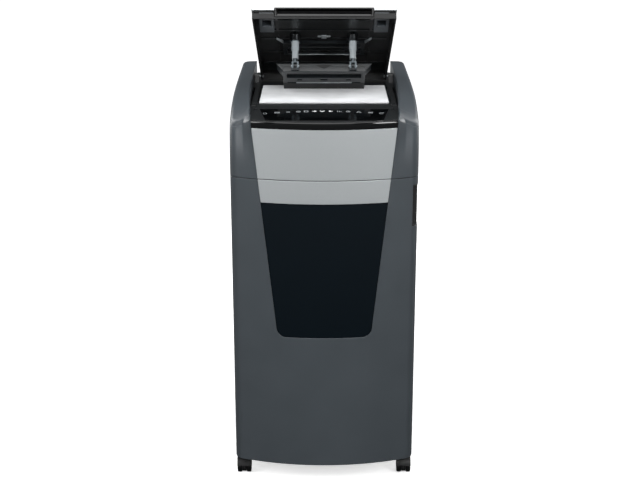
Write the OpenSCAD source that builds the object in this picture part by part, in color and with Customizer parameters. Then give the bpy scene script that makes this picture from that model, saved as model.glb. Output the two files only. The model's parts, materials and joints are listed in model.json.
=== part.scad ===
/* [Cabinet] */
// Width across the side panels
body_w = 420; // [410:5:520]
// Depth from the front of the bow to the back
body_d = 610; // [590:5:740]
// Height of the cabinet's lower edge above the floor
base_z = 58; // [54:1:72]
// Height of the seam between the door and the head
seam_z = 749; // [730:1:765]
// Thickness of the moulded covers and panels
wall = 3; // [2.4:0.2:3.6]
// Plan radius of the bowed front
bow_r = 550; // [450:10:900]
// Plan radius of the front corners
corner_r = 28; // [20:1:32]
// Plan radius of the rear corners
rear_r = 14; // [8:1:18]
// Gap between neighbouring covers
seam_gap = 1.6; // [1:0.2:2.4]
// Gap between the door's edges and the side panels
door_gap = 2.4; // [2:0.2:4]

/* [Arms beside the paper tray] */
// Height of the arms at the back
arm_top_z = 912; // [905:1:930]
// Width of each arm at the back
arm_w = 36; // [34:1:40]
// How far the outer edge of the arm falls towards the front corner
arm_drop = 62; // [45:1:75]
// Length over which the outer edge falls
arm_run = 75; // [60:1:95]
// How far the inner edge of the arm falls towards the front lip
crest_drop = 33; // [28:1:36]

/* [Front panel] */
// Half width of the tapered panel at its lower edge
panel_foot_half = 105.8; // [90:0.5:110]
// Sideways growth of the tapered panel for each millimetre of height
panel_taper = 0.111; // [0.08:0.001:0.115]
// Height of the dark window's lower edge
window_z = 380; // [300:5:420]
// Height of the seam between the window and the bright strip
strip_z = 696; // [680:1:710]
// Height of the upper edge of the bright panel
lip_z = 863; // [855:1:868]
// Height of the top of the gloss lip
deck_front_z = 879; // [876:1:882]
// Height of the control deck at the paper tray
deck_back_z = 886; // [884:1:890]

/* [Paper tray] */
// Width of the sheet the tray takes
paper_w = 297; // [280:1:300]
// Depth of the sheet the tray takes
paper_d = 210; // [200:1:230]
// Play between the sheet and the tray walls
paper_play = 2; // [1:0.5:3]
// Height of the tray floor
tray_z = 808; // [800:1:812]
// Height of the side rails that the lid closes on
rail_z = 884; // [882:1:885]
// Width of each side rail
rail_w = 13; // [10:1:14]

/* [Lid] */
// Distance from the hinge axis to the lid's front wall
lid_len = 323; // [315:1:330]
// Half width of the lid at its front wall
lid_half_front = 164; // [160:0.5:165]
// Half width of the lid at its hinge
lid_half_back = 157; // [155:0.5:158]
// Height of the hinge axis
hinge_z = 895; // [894:0.5:897]
// Angle at which the lid stands open
lid_open = 35; // [30:1:45]
// Diameter of the lid's hinge pins
lid_pin_d = 8; // [6:0.5:9]

/* [Pressure plate] */
// Travel of the pressure plate towards the lid
plate_travel = 40; // [34:1:40]
// Thickness of the pressure plate
plate_t = 20; // [16:1:20]
// Half width of the pressure plate across its wings
plate_half = 111; // [100:1:115]
// Sideways distance of each strut from the middle
strut_x = 67.5; // [60:0.5:75]
// Outer diameter of the upper strut sleeve
sleeve_d = 18; // [16:0.5:20]

/* [Shredding mechanism] */
// Distance between the two cutter shafts
cutter_pitch = 45; // [45:1:45]
// Diameter of the cutter discs
cutter_d = 48; // [46:0.5:49]
// Thickness of one cutter disc
disc_t = 3.8; // [3:0.1:4]
// Diameter of the cutter shaft where it runs in the frame
cutter_shaft_d = 20; // [16:1:24]
// Diameter of the feed rollers
roller_d = 32; // [28:1:33]
// Radial play of every running fit
fit = 0.05; // [0.02:0.01:0.1]

/* [Waste bin] */
// Height of the waste bin
bin_h = 575; // [450:5:580]
// Half width of the waste bin
bin_half = 165; // [140:1:168]

/* [Casters] */
// Diameter of the caster wheels
wheel_d = 44; // [38:1:45]
// Width of one wheel
wheel_w = 11; // [9:0.5:12]
// Distance from the swivel axis to the wheel axle
trail = 17; // [12:1:19]
// Diameter of the caster stem
stem_d = 11; // [9:0.5:12]

/* [Hidden] */
$fn = 48;

charcoal = "#3a4045";
silver = "#a4a9aa";
gloss_black = "#0a0d10";
tinted = "#10171b";
dark_grey = "#2c3235";
steel = "#8c9093";
rubber = "#1c1d1e";
gear_white = "#d8d6cc";

far = 1200;
front_y = -body_d / 2;
back_y = body_d / 2;
half_w = body_w / 2;

// Plan of the cabinet: a bowed front, round front corners, straight sides and small rear corners.
bow_cy = front_y + bow_r;
corner_x = half_w - corner_r;
corner_y = bow_cy - sqrt(pow(bow_r - corner_r, 2) - pow(corner_x, 2));
bow_a = asin(corner_x / (bow_r - corner_r));
bow_steps = 20;
corner_steps = 8;
function arc(cx, cy, r, a0, a1, n) =
    [for (i = [0:n]) let (a = a0 + (a1 - a0) * i / n) [cx + r * cos(a), cy + r * sin(a)]];
function plan(inset) = concat(
    arc(0, bow_cy, bow_r - inset, -90 - bow_a, -90 + bow_a, bow_steps),
    arc(corner_x, corner_y, corner_r - inset, -90 + bow_a, 0, corner_steps),
    arc(half_w - rear_r, back_y - rear_r, rear_r - inset, 0, 90, corner_steps),
    arc(rear_r - half_w, back_y - rear_r, rear_r - inset, 90, 180, corner_steps),
    arc(-corner_x, corner_y, corner_r - inset, 180, 270 - bow_a, corner_steps));
function bow_y(x, inset) = bow_cy - sqrt(pow(bow_r - inset, 2) - x * x);

// Arms: the inner foot line runs from the lip's ends out to the back, and the top falls forwards.
foot_back = half_w - arm_w;
foot_front = foot_back - 14;
foot_run_y = front_y + 405;
crest_run = 110;
shoulder_y = front_y + 52;
arm_lean = 6.5;
function foot_x(y) = y > foot_run_y ? foot_back
    : foot_back - (foot_back - foot_front) * pow((foot_run_y - y) / (foot_run_y - front_y), 2);
function arm_out_z(y) = arm_top_z - arm_drop * exp(-(y - shoulder_y) / arm_run);
function arm_in_z(y) = arm_top_z - crest_drop * exp(-(y - front_y - 18) / crest_run);
arm_stations = concat([for (s = [-20, 10, 30, 45, 60, 75, 92, 112, 136, 165, 200, 250, 310, 400, 500])
    front_y + s], [back_y + 20]);

// Levels and places of the tray, the deck and the lid.
tray_y = front_y + 287;
tray_half = paper_w / 2 + paper_play;
tray_front = tray_y - paper_d / 2 - paper_play;
tray_back = tray_y + paper_d / 2 + paper_play;
tray_wall = 2.5;
rail_in = tray_half + tray_wall + 1;
deck_gap = 0.5;
deck_back_y = tray_front - 62;
side_deck_y = tray_front - 33;
sub_deck_z = 868;
hinge_y = tray_y + 190;
lid_bottom = -7;
lid_top = 22;
lid_ceiling = 11;
lid_rear_r = 11;
plate_front = 200;
plate_back = 106;
plate_bottom = -80;
strut_l = 213;

// Door: it turns on pins near the left side panel's front edge.
door_edge_y = corner_y + 15;
side_edge_y = door_edge_y + door_gap;
door_top = seam_z - seam_gap / 2;
head_z = seam_z + seam_gap / 2;
door_pin_x = -half_w + 8.5;
door_pin_y = door_edge_y - 18;
door_pin_d = 5;
door_back_y = door_edge_y - 4;
grip_z0 = seam_z - 115;
grip_z1 = seam_z - 18;
grip_w = 13;

// Mechanism.
cutter_z = tray_z - 73;
nip_y = tray_y;
front_cutter_y = nip_y - cutter_pitch / 2;
rear_cutter_y = nip_y + cutter_pitch / 2;
frame_x = 158;
frame_t = 4;
shelf_z = cutter_z - 65;
shelf_t = 3;
core_d = 2 * cutter_pitch - cutter_d - 4;
disc_pitch = 2 * disc_t + 0.8;
disc_count = 35;
gear_m = 2.5;
gear_t = 12;
cutter_teeth = round(cutter_pitch / gear_m);
idler_small_teeth = 16;
idler_m = 2;
idler_teeth = 44;
pinion_teeth = 12;
idler_y = rear_cutter_y + gear_m * (cutter_teeth + idler_small_teeth) / 2;
motor_y = idler_y + idler_m * (idler_teeth + pinion_teeth) / 2;
gear_x = frame_x + frame_t + 2;
idler_x = gear_x + gear_t + 2;
idler_t = 10;
motor_r = 42;
feed_teeth = 28;
feed_gap = feed_teeth * idler_m;
feed_z = tray_z + 3 - roller_d / 2;
feed_shaft_d = 10;
roller_w = 22;
roller_pitch = (tray_half - 30.5) / 2;
roller_xs = [for (k = [-2:2]) k * roller_pitch];

// Bin and casters.
bin_z = base_z + 0.6;
bin_front = door_back_y + 50;
bin_back = back_y - 35;
bin_wall = 2.5;
pan_t = 4;
pan_bottom = base_z - pan_t;
caster_x = half_w - 18;
caster_front_y = side_edge_y + 23;
caster_back_y = back_y - 40;
hub_half = 4.5;
hood_gap = 1.5;
hood_t = 2.5;
axle_z = wheel_d / 2;
axle_d = 6;
stem_top = base_z + 32;
inlet_x = -118;
inlet_z = base_z + 60;
switch_x = inlet_x - 42;

module box(lo, hi) { translate(lo) cube(hi - lo); }
module along_x(x0, x1) { translate([x0, 0, 0]) rotate([90, 0, 90]) linear_extrude(x1 - x0) children(); }
module along_y(y0, y1) { translate([0, y1, 0]) rotate([90, 0, 0]) linear_extrude(y1 - y0) children(); }
module rod_x(y, z, r, x0, x1) { translate([x0, y, z]) rotate([0, 90, 0]) cylinder(r = r, h = x1 - x0); }
module rod_z(x, y, r, z0, z1) { translate([x, y, z0]) cylinder(r = r, h = z1 - z0); }
module both_sides() { children(); mirror([1, 0, 0]) children(); }
module in_lid() { translate([0, hinge_y, hinge_z]) rotate([-lid_open, 0, 0]) children(); }

module plan_block(inset, z0, z1) { translate([0, 0, z0]) linear_extrude(z1 - z0) polygon(plan(inset)); }
module plan_band(inset, t, z0, z1) {
    translate([0, 0, z0]) linear_extrude(z1 - z0) difference() {
        polygon(plan(inset));
        polygon(plan(inset + t));
    }
}

// Front region between two heights, bounded by the two leaning edges of the tapered panel.
function panel_half(z) = panel_foot_half + panel_taper * (z - window_z);
module panel_prism(grow, z0, z1) {
    along_y(front_y - 20, corner_y)
        polygon([[-panel_half(z0) - grow, z0], [panel_half(z0) + grow, z0],
            [panel_half(z1) + grow, z1], [-panel_half(z1) - grow, z1]]);
}
window_r = 22;
lean = atan(panel_taper);
module window_prism(grow) {
    z0 = window_z - grow;
    zc = z0 + window_r;
    cx = panel_half(zc) + grow - window_r / cos(lean);
    right = arc(cx, zc, window_r, -90, -lean, 10);
    left = [for (i = [len(right) - 1:-1:0]) [-right[i][0], right[i][1]]];
    zt = strip_z + 1;
    along_y(front_y - 20, corner_y)
        polygon(concat(right, [[panel_half(zt) + grow, zt], [-panel_half(zt) - grow, zt]], left));
}

// Everything under the arms' top surface: cross sections joined two by two from front to back.
// The crease lies a little inside the foot line, and the foot line has stations of its own.
function roof_section(y, drop) =
    let (reach = half_w + 5, xi = foot_x(y), zi = arm_in_z(y) - drop, zo = arm_out_z(y) - drop,
        slope = (zi - zo) / (half_w - xi), ze = zo - slope * 5, xc = xi - 2.5, zc = zi + slope * 2.5)
    [[-reach, y, 700], [reach, y, 700], [reach, y, ze], [xc, y, zc], [-xc, y, zc], [-reach, y, ze]];
module under_roof(drop) {
    for (i = [0:len(arm_stations) - 2]) hull()
        polyhedron(concat(roof_section(arm_stations[i], drop), roof_section(arm_stations[i + 1], drop)),
            [[0, 1, 2, 3, 4, 5], [11, 10, 9, 8, 7, 6], [0, 6, 7, 1], [1, 7, 8, 2], [2, 8, 9, 3], [3, 9, 10, 4],
                [4, 10, 11, 5], [5, 11, 6, 0]]);
}
function foot_line(out) = [for (y = arm_stations) [foot_x(y + 3) + out, y + 3]];
module arm_plan(out) {
    polygon(concat(foot_line(out), [[far, back_y + 23], [far, front_y - 17]]));
}

// ---- Cabinet ----
module side_panel() {
    intersection() {
        plan_band(0, wall, base_z, door_top);
        box([half_w - rear_r - 2, side_edge_y, 0], [far, far, far]);
    }
}
// Flat ear that carries one of the door's hinge pins in front of the cabinet's edge.
ear_r = 5;
module hinge_ear(z0, z1) {
    difference() {
        union() {
            rod_z(door_pin_x, door_pin_y, ear_r, z0, z1);
            box([door_pin_x - ear_r, door_pin_y, z0], [door_pin_x + ear_r, side_edge_y + 12, z1]);
        }
        rod_z(door_pin_x, door_pin_y, door_pin_d / 2 + fit, z0 - 1, z1 + 1);
    }
}
module left_side_panel() {
    color(charcoal) {
        mirror([1, 0, 0]) side_panel();
        hinge_ear(head_z, head_z + 4);
        box([-half_w + wall - 0.2, side_edge_y + 4, door_top - 30], [door_pin_x + ear_r, side_edge_y + 12, door_top]);
        box([-half_w + wall + 0.2, side_edge_y + 4, door_top - 0.1], [door_pin_x + ear_r, side_edge_y + 12, head_z + 4]);
    }
}
module right_side_panel() { color(charcoal) side_panel(); }

module rear_panel() {
    x1 = half_w - rear_r - 2 - 0.4;
    color(charcoal) difference() {
        intersection() {
            plan_band(0, wall, base_z, door_top);
            box([-x1, 0, 0], [x1, far, far]);
        }
        for (i = [0:9]) both_sides()
            box([40, 0, shelf_z - 60 + i * 12], [120, far, shelf_z - 55 + i * 12]);
        box([inlet_x - 14.5, 0, inlet_z - 11], [inlet_x + 14.5, far, inlet_z + 11]);
        box([switch_x - 7.5, 0, inlet_z - 12], [switch_x + 7.5, far, inlet_z + 12]);
        for (z = [base_z + 14, seam_z - 14]) both_sides()
            translate([half_w - rear_r - 12, back_y + 1, z]) rotate([90, 0, 0]) {
                cylinder(r = 2.1, h = 8);
                cylinder(r = 4, h = 2.4);
            }
    }
}

module base_pan() {
    color(rubber) difference() {
        union() {
            box([-half_w + wall + 0.4, side_edge_y + 1, pan_bottom],
                [half_w - wall - 0.4, back_y - wall - 0.4, base_z]);
            both_sides() {
                box([bin_half + 3, side_edge_y + 6, base_z - 1], [bin_half + 6, bin_back, base_z + 26]);
                for (y = [caster_front_y, caster_back_y])
                    rod_z(caster_x, y, stem_d / 2 + 5, base_z - 1, stem_top + 2);
            }
            hinge_ear(pan_bottom, base_z - 0.8);
        }
        both_sides() for (y = [caster_front_y, caster_back_y])
            rod_z(caster_x, y, stem_d / 2 + fit, pan_bottom - 1, stem_top);
    }
}

module mechanism_shelf() {
    color(steel) difference() {
        union() {
            box([-half_w + wall + 0.4, side_edge_y + 30, shelf_z],
                [half_w - wall - 0.4, back_y - rear_r - 2, shelf_z + shelf_t]);
            both_sides() box([half_w - wall - 2.4, side_edge_y + 30, shelf_z - 20],
                [half_w - wall - 0.4, back_y - rear_r - 2, shelf_z]);
            both_sides() box([62, flap_y - 5, shelf_z - 10], [66, flap_y + 5, shelf_z]);
        }
        box([-frame_x + 10, nip_y - 42, 0], [frame_x - 10, nip_y + 42, far]);
        rod_x(flap_y, shelf_z - 5, 1.5 + fit, -80, 80);
    }
}

// ---- Head ----
module head_cover() {
    difference() {
        intersection() {
            union() {
                intersection() {
                    plan_band(0, wall, head_z, arm_top_z + 20);
                    box([100, -far, 0], [far, far, far]);
                }
                intersection() {
                    difference() { plan_block(1, head_z + 60, arm_top_z + 20); under_roof(wall); }
                    linear_extrude(far) arm_plan(0);
                }
                intersection() {
                    plan_block(1, sub_deck_z - 20, arm_top_z + 20);
                    linear_extrude(far) difference() { arm_plan(0); arm_plan(wall); }
                }
            }
            under_roof(0);
        }
        panel_prism(0.6, head_z - 5, deck_front_z + 12);
        box([-far, corner_y + 60, 0], [foot_back - 0.5, far, arm_top_z + 30]);
    }
}
module head_right_cover() { color(charcoal) head_cover(); }
module head_left_cover() { color(charcoal) mirror([1, 0, 0]) head_cover(); }
module head_rear_cover() {
    color(charcoal) intersection() {
        plan_band(0, wall, head_z, rail_z - 2);
        box([-foot_back + 0.9, 0, 0], [foot_back - 0.9, far, far]);
    }
}
module head_front_panel() {
    color(silver) intersection() {
        plan_band(0.3, wall - 0.5, head_z, lip_z - 0.4);
        panel_prism(0, head_z, lip_z - 0.4);
    }
}
module front_lip() {
    color(gloss_black) intersection() {
        plan_band(0, wall + 1, lip_z, deck_front_z);
        panel_prism(0, lip_z, deck_front_z);
    }
}

// Deck from the lip back to the tray, rising a little; the glass lies in a pocket of it.
glass_back = deck_back_y - 2;
glass_front = front_y + 16;
glass_half_back = paper_w / 2 - 4;
glass_half_front = glass_half_back - 17;
glass_t = 1.6;
deck_slope = (deck_back_z - deck_front_z) / (deck_back_y - front_y);
module deck_slab(t, lift) {
    z0 = deck_front_z + lift;
    y1 = side_deck_y;
    along_x(-half_w, half_w)
        polygon([[front_y, z0 - t], [front_y, z0], [deck_back_y, z0 + deck_slope * (deck_back_y - front_y)],
            [y1, z0 + deck_slope * (deck_back_y - front_y)],
            [y1, z0 - t + deck_slope * (deck_back_y - front_y)],
            [deck_back_y, z0 - t + deck_slope * (deck_back_y - front_y)]]);
}
module glass_plan(grow) {
    polygon([[-glass_half_front - grow, glass_front - grow], [glass_half_front + grow, glass_front - grow],
        [glass_half_back + grow, glass_back + grow], [-glass_half_back - grow, glass_back + grow]]);
}
module control_deck() {
    color(dark_grey) difference() {
        intersection() {
            deck_slab(4, 0);
            plan_block(wall + 1.4, 0, far);
            linear_extrude(far) difference() {
                square(2 * far, center = true);
                arm_plan(-deck_gap);
                mirror([1, 0]) arm_plan(-deck_gap);
            }
        }
        intersection() { deck_slab(glass_t + 0.2, 0.01); linear_extrude(far) glass_plan(0.3); }
        box([-tray_half - tray_wall - 0.5, deck_back_y, 0], [tray_half + tray_wall + 0.5, far, far]);
        both_sides() rod_z(paper_w / 2 + 4.5, deck_back_y - 1, 4.5, 0, far);
    }
}
module control_glass() {
    color(gloss_black) intersection() {
        deck_slab(glass_t, 0.3);
        linear_extrude(far) glass_plan(0);
        plan_block(wall + 1.6, 0, far);
    }
}
module tray_front_wall() {
    color(dark_grey) difference() {
        box([-tray_half - tray_wall, deck_back_y + 0.3, sub_deck_z + 4],
            [tray_half + tray_wall, tray_front, deck_back_z]);
        box([-tray_half + 3, deck_back_y + 6, 0], [tray_half - 3, tray_front - 6, deck_back_z - 3]);
    }
}
module paper_tray() {
    color(dark_grey) difference() {
        box([-tray_half - tray_wall, tray_front - tray_wall, tray_z - 3],
            [tray_half + tray_wall, tray_back + tray_wall, rail_z - 3]);
        box([-tray_half, tray_front, tray_z], [tray_half, tray_back, far]);
        box([-far, -far, sub_deck_z + 4 - 0.01], [far, tray_front, far]);
        for (x = roller_xs) for (s = [-1, 1])
            box([x - roller_w / 2 - 2, nip_y + s * feed_gap / 2 - roller_slot, 0],
                [x + roller_w / 2 + 2, nip_y + s * feed_gap / 2 + roller_slot, tray_z + 1]);
        box([-frame_x + 12, nip_y - 4, 0], [frame_x - 12, nip_y + 4, tray_z + 1]);
    }
}
roller_slot = sqrt(pow(roller_d / 2, 2) - pow(tray_z - 3 - feed_z, 2)) + 1.5;
module tray_rails() {
    color(dark_grey) both_sides() difference() {
        box([rail_in, tray_front - 14, sub_deck_z], [rail_in + rail_w, hinge_y - 22, rail_z]);
        box([rail_in + 4, tray_front + 8, rail_z - 6], [rail_in + 9, tray_front + 17, far]);
    }
}
module rear_deck() {
    color(dark_grey) difference() {
        union() {
            intersection() {
                translate([0, 0, sub_deck_z - 3]) linear_extrude(3) difference() {
                    square(2 * far, center = true);
                    arm_plan(-deck_gap);
                    mirror([1, 0]) arm_plan(-deck_gap);
                }
                box([-far, side_deck_y + 4, 0], [far, back_y - wall - 0.4, far]);
            }
            box([-foot_back + 1, tray_back + tray_wall + 0.5, sub_deck_z - 1],
                [foot_back - 1, back_y - wall - 0.4, rail_z - 2]);
            both_sides() hull() {
                rod_x(hinge_y, hinge_z, lid_pin_d / 2 + 4, lid_half_back + 5, foot_back - 1);
                box([lid_half_back + 5, hinge_y - 14, rail_z - 3], [foot_back - 1, hinge_y + 14, rail_z - 2]);
            }
        }
        both_sides() box([rail_in - 0.3, 0, sub_deck_z], [rail_in + rail_w + 0.3, hinge_y - 21.5, far]);
        both_sides() rod_x(hinge_y, hinge_z, lid_pin_d / 2 + fit, lid_half_back, foot_back - 3);
        box([-tray_half - tray_wall - 0.5, -far, 0],
            [tray_half + tray_wall + 0.5, tray_back + tray_wall + 0.5, far]);
        both_sides() box([tray_half, side_deck_y, 0], [rail_in - 0.3, tray_back + 3, sub_deck_z - 2]);
    }
}

// ---- Mechanism ----
pressure_a = 25;
function involute(rb, t) = [rb * (cos(t) + t * PI / 180 * sin(t)), rb * (sin(t) - t * PI / 180 * cos(t))];
function turn(p, a) = [p[0] * cos(a) - p[1] * sin(a), p[0] * sin(a) + p[1] * cos(a)];
function inv_a(a) = tan(a) * 180 / PI - a;
// Spur gear outline with one tooth centred on the angle at; short teeth and a little backlash.
function gear_outline(teeth, m, at) =
    let (rp = m * teeth / 2, rb = rp * cos(pressure_a), ra = rp + 0.8 * m, rf = rp - 1.05 * m,
        ta = sqrt(pow(ra / rb, 2) - 1) * 180 / PI,
        t0 = rf > rb ? sqrt(pow(rf / rb, 2) - 1) * 180 / PI : 0,
        half = 90 / teeth + inv_a(pressure_a) - 0.06 * m / rp * 180 / PI,
        flank = concat(rf < rb ? [[rf, 0]] : [],
            [for (i = [0:5]) involute(rb, t0 + (ta - t0) * i / 5)]),
        n = len(flank) - 1)
    [for (k = [0:teeth - 1]) let (c = at + 360 * k / teeth)
        for (p = concat([for (i = [0:n]) turn(flank[i], c - half)],
            [for (i = [n:-1:0]) turn([flank[i][0], -flank[i][1]], c + half)])) p];
module gear(teeth, m, at, y, z, bore, x0, t) {
    difference() {
        along_x(x0, x0 + t) translate([y, z]) polygon(gear_outline(teeth, m, at));
        if (bore > 0) rod_x(y, z, bore, x0 - 1, x0 + t + 1);
    }
}

module mechanism_frame() {
    color(steel) difference() {
        union() {
            both_sides() box([frame_x, nip_y - 62, shelf_z + shelf_t],
                [frame_x + frame_t, motor_y + motor_r + 6, tray_z - 4]);
            for (p = [[nip_y - 54, shelf_z + 14], [nip_y - 54, tray_z - 14], [motor_y + motor_r, shelf_z + 12]])
                rod_x(p[0], p[1], 5, -frame_x - 0.5, frame_x + 0.5);
        }
        for (y = [front_cutter_y, rear_cutter_y]) rod_x(y, cutter_z, cutter_shaft_d / 2 + fit, -far, far);
        for (s = [-1, 1]) rod_x(nip_y + s * feed_gap / 2, feed_z, feed_shaft_d / 2 + fit, -far, far);
        rod_x(idler_y, cutter_z, 6 + fit, 0, far);
        rod_x(motor_y, cutter_z, 6 + fit, 0, far);
    }
}
module cutter(y, shift) {
    x0 = -disc_count * disc_pitch / 2 + shift;
    rc = core_d / 2;
    rd = cutter_d / 2;
    profile = concat([[0, -frame_x - 8], [cutter_shaft_d / 2, -frame_x - 8], [cutter_shaft_d / 2, -frame_x + 2],
        [rc, -frame_x + 2]],
        [for (k = [0:disc_count - 1]) let (a = x0 + k * disc_pitch)
            for (p = [[rc, a], [rd, a], [rd, a + disc_t], [rc, a + disc_t]]) p],
        [[rc, frame_x - 2], [cutter_shaft_d / 2, frame_x - 2], [cutter_shaft_d / 2, frame_x + frame_t + 1],
            [8, frame_x + frame_t + 1], [8, gear_x + gear_t], [0, gear_x + gear_t]]);
    translate([0, y, cutter_z]) rotate([0, 90, 0]) rotate_extrude() polygon(profile);
}
module cutter_front() { color(steel) cutter(front_cutter_y, 0); }
module cutter_rear() { color(steel) cutter(rear_cutter_y, disc_pitch / 2); }
module cutter_gear_front() {
    color(gear_white) gear(cutter_teeth, gear_m, 0, front_cutter_y, cutter_z, 8, gear_x, gear_t);
}
module cutter_gear_rear() {
    color(gear_white) gear(cutter_teeth, gear_m, 180 + 180 / cutter_teeth, rear_cutter_y, cutter_z, 8,
        gear_x, gear_t);
}
module idler_gear() {
    color(gear_white) {
        gear(idler_small_teeth, gear_m, 180, idler_y, cutter_z, 0, gear_x, gear_t);
        rod_x(idler_y, cutter_z, 14, gear_x + gear_t - 0.1, idler_x + 0.1);
        gear(idler_teeth, idler_m, 0, idler_y, cutter_z, 0, idler_x, idler_t);
        rod_x(idler_y, cutter_z, 6, frame_x - 6, gear_x + 0.1);
    }
}
motor_x0 = -100;
motor_x1 = 70;
module drive_motor() {
    color(steel) difference() {
        union() {
            rod_x(motor_y, cutter_z, motor_r, motor_x0, motor_x1);
            rod_x(motor_y, cutter_z, 22, motor_x1 - 0.1, motor_x1 + 12);
            for (s = [-1, 1]) box([motor_x0 + 20, motor_y + s * 28 - 6, shelf_z + shelf_t],
                [motor_x1 - 20, motor_y + s * 28 + 6, cutter_z - 20]);
        }
        rod_x(motor_y, cutter_z, 6 + fit, -far, far);
    }
}
module motor_shaft() {
    color(steel) {
        rod_x(motor_y, cutter_z, 6, motor_x0 - 14, idler_x);
        gear(pinion_teeth, idler_m, 180 + 180 / pinion_teeth, motor_y, cutter_z, 0, idler_x - 0.1, idler_t + 0.1);
        rod_x(motor_y, cutter_z, 14, motor_x0 - 14, motor_x0 - 4);
        for (a = [0:60:300]) translate([motor_x0 - 12, motor_y, cutter_z]) rotate([a, 0, 0])
            box([0, -1, 12], [7, 1, 36]);
    }
}
module stripper_combs() {
    reach = core_d / 2 + 0.8;
    finger = disc_t - 0.2;
    gap_mid = disc_t + (disc_pitch - disc_t) / 2;
    color(dark_grey) for (s = [-1, 1]) {
        y_axis = nip_y + s * cutter_pitch / 2;
        shift = s < 0 ? 0 : disc_pitch / 2;
        y_bar = y_axis + s * (cutter_d / 2 + 2);
        box([-frame_x, min(y_bar, y_bar + s * 3), cutter_z - 12], [frame_x, max(y_bar, y_bar + s * 3), cutter_z - 2]);
        for (k = [0:disc_count - 2]) {
            x = -disc_count * disc_pitch / 2 + shift + k * disc_pitch + gap_mid;
            y_tip = y_axis + s * reach;
            box([x - finger / 2, min(y_tip, y_bar + s * 0.5), cutter_z - 9],
                [x + finger / 2, max(y_tip, y_bar + s * 0.5), cutter_z - 5]);
        }
    }
}
module feed_roller(y, at) {
    color(steel) rod_x(y, feed_z, feed_shaft_d / 2, -frame_x - 8, gear_x + gear_t - 4);
    color(rubber) for (x = roller_xs) rod_x(y, feed_z, roller_d / 2, x - roller_w / 2, x + roller_w / 2);
    color(gear_white) gear(feed_teeth, idler_m, at, y, feed_z, 0, gear_x, gear_t - 4);
}
module feed_roller_front() { feed_roller(nip_y - feed_gap / 2, 0); }
module feed_roller_rear() { feed_roller(nip_y + feed_gap / 2, 180 + 180 / feed_teeth); }

flap_y = nip_y - 60;
module bin_full_flap() {
    color(dark_grey) {
        rod_x(flap_y, shelf_z - 5, 1.5, -68, 68);
        rod_x(flap_y, shelf_z - 5, 3, -60, 60);
        box([-60, flap_y - 1, bin_z + bin_h + 4], [60, flap_y + 1, shelf_z - 4]);
    }
}
module control_board() {
    z = deck_front_z - 4 - 10;
    y0 = glass_front + 14;
    y1 = glass_back - 6;
    color("#1f5a3c") {
        box([-glass_half_front + 14, y0, z - 1.6], [glass_half_front - 14, y1, z]);
        for (i = [0:3]) box([-76 + i * 42, y0 + 18, z - 0.1], [-58 + i * 42, y0 + 36, z + 3]);
        both_sides() for (y = [y0 + 6, y1 - 6])
            rod_z(glass_half_front - 20, y, 3, z - 0.1, z + 8.6);
    }
}
module power_inlet() {
    color(rubber) difference() {
        union() {
            box([inlet_x - 14.3, back_y - 26, inlet_z - 10.8], [inlet_x + 14.3, back_y - 0.6, inlet_z + 10.8]);
            box([switch_x - 12, back_y - wall - 2.4, inlet_z - 14], [inlet_x + 18, back_y - wall - 0.4, inlet_z + 14]);
            box([switch_x - 10, back_y - 24, inlet_z - 14], [switch_x + 10, back_y - wall - 0.4, inlet_z + 14]);
        }
        box([inlet_x - 12, back_y - 20, inlet_z - 8.2], [inlet_x + 12, back_y + 1, inlet_z + 8.2]);
        box([switch_x - 7.5, back_y - 22, inlet_z - 13], [switch_x + 7.5, back_y, inlet_z + 13]);
        rod_x(back_y - 12, inlet_z, 1.5 + fit, switch_x - 9, switch_x + 9);
    }
    color("#c9ced0") for (x = [-7, 0, 7])
        box([inlet_x + x - 1, back_y - 20.5, inlet_z - 2 + (x == 0 ? 3 : 0)],
            [inlet_x + x + 1, back_y - 6, inlet_z + 2 + (x == 0 ? 3 : 0)]);
}
module power_switch() {
    color(gloss_black) {
        intersection() {
            rod_x(back_y - 12, inlet_z, 13, switch_x - 6.6, switch_x + 6.6);
            box([-far, back_y - 15, inlet_z - 11], [far, back_y - 0.4, inlet_z + 11]);
        }
        rod_x(back_y - 12, inlet_z, 1.5, switch_x - 8.8, switch_x + 8.8);
    }
}
module rear_screws() {
    color(steel) for (z = [base_z + 14, seam_z - 14]) both_sides()
        translate([half_w - rear_r - 12, back_y - 0.1, z]) rotate([90, 0, 0]) {
            cylinder(r = 2, h = 12);
            cylinder(r = 3.8, h = 1.2);
        }
}

// ---- Door ----
module door_skin() {
    color(charcoal) difference() {
        intersection() {
            plan_band(0, wall, base_z, door_top);
            box([-far, -far, 0], [far, door_edge_y, far]);
        }
        window_prism(0.6);
        panel_prism(0.6, strip_z, door_top + 5);
        box([half_w - grip_w, -far, grip_z0], [far, far, grip_z1]);
    }
}
module door_silver_strip() {
    color(silver) intersection() {
        plan_band(0.3, wall - 0.5, strip_z, door_top);
        panel_prism(0, strip_z, door_top);
    }
}
module door_window() {
    color(tinted) intersection() {
        plan_band(1.8, wall - 0.5, window_z, strip_z - 0.4);
        window_prism(0);
    }
}
frame_in = wall + 1.4;
module door_inner_frame() {
    x0 = -half_w + 12;
    x1 = half_w - grip_w - 6;
    z0 = base_z + 4;
    z1 = door_top - 4;
    color(dark_grey) difference() {
        intersection() {
            plan_block(frame_in, z0, z1);
            box([x0, -far, 0], [x1, door_back_y, far]);
        }
        box([x0 + 3, -far, z0 + 3], [x1 - 3, door_back_y - 3, z1 - 3]);
    }
}
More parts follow.
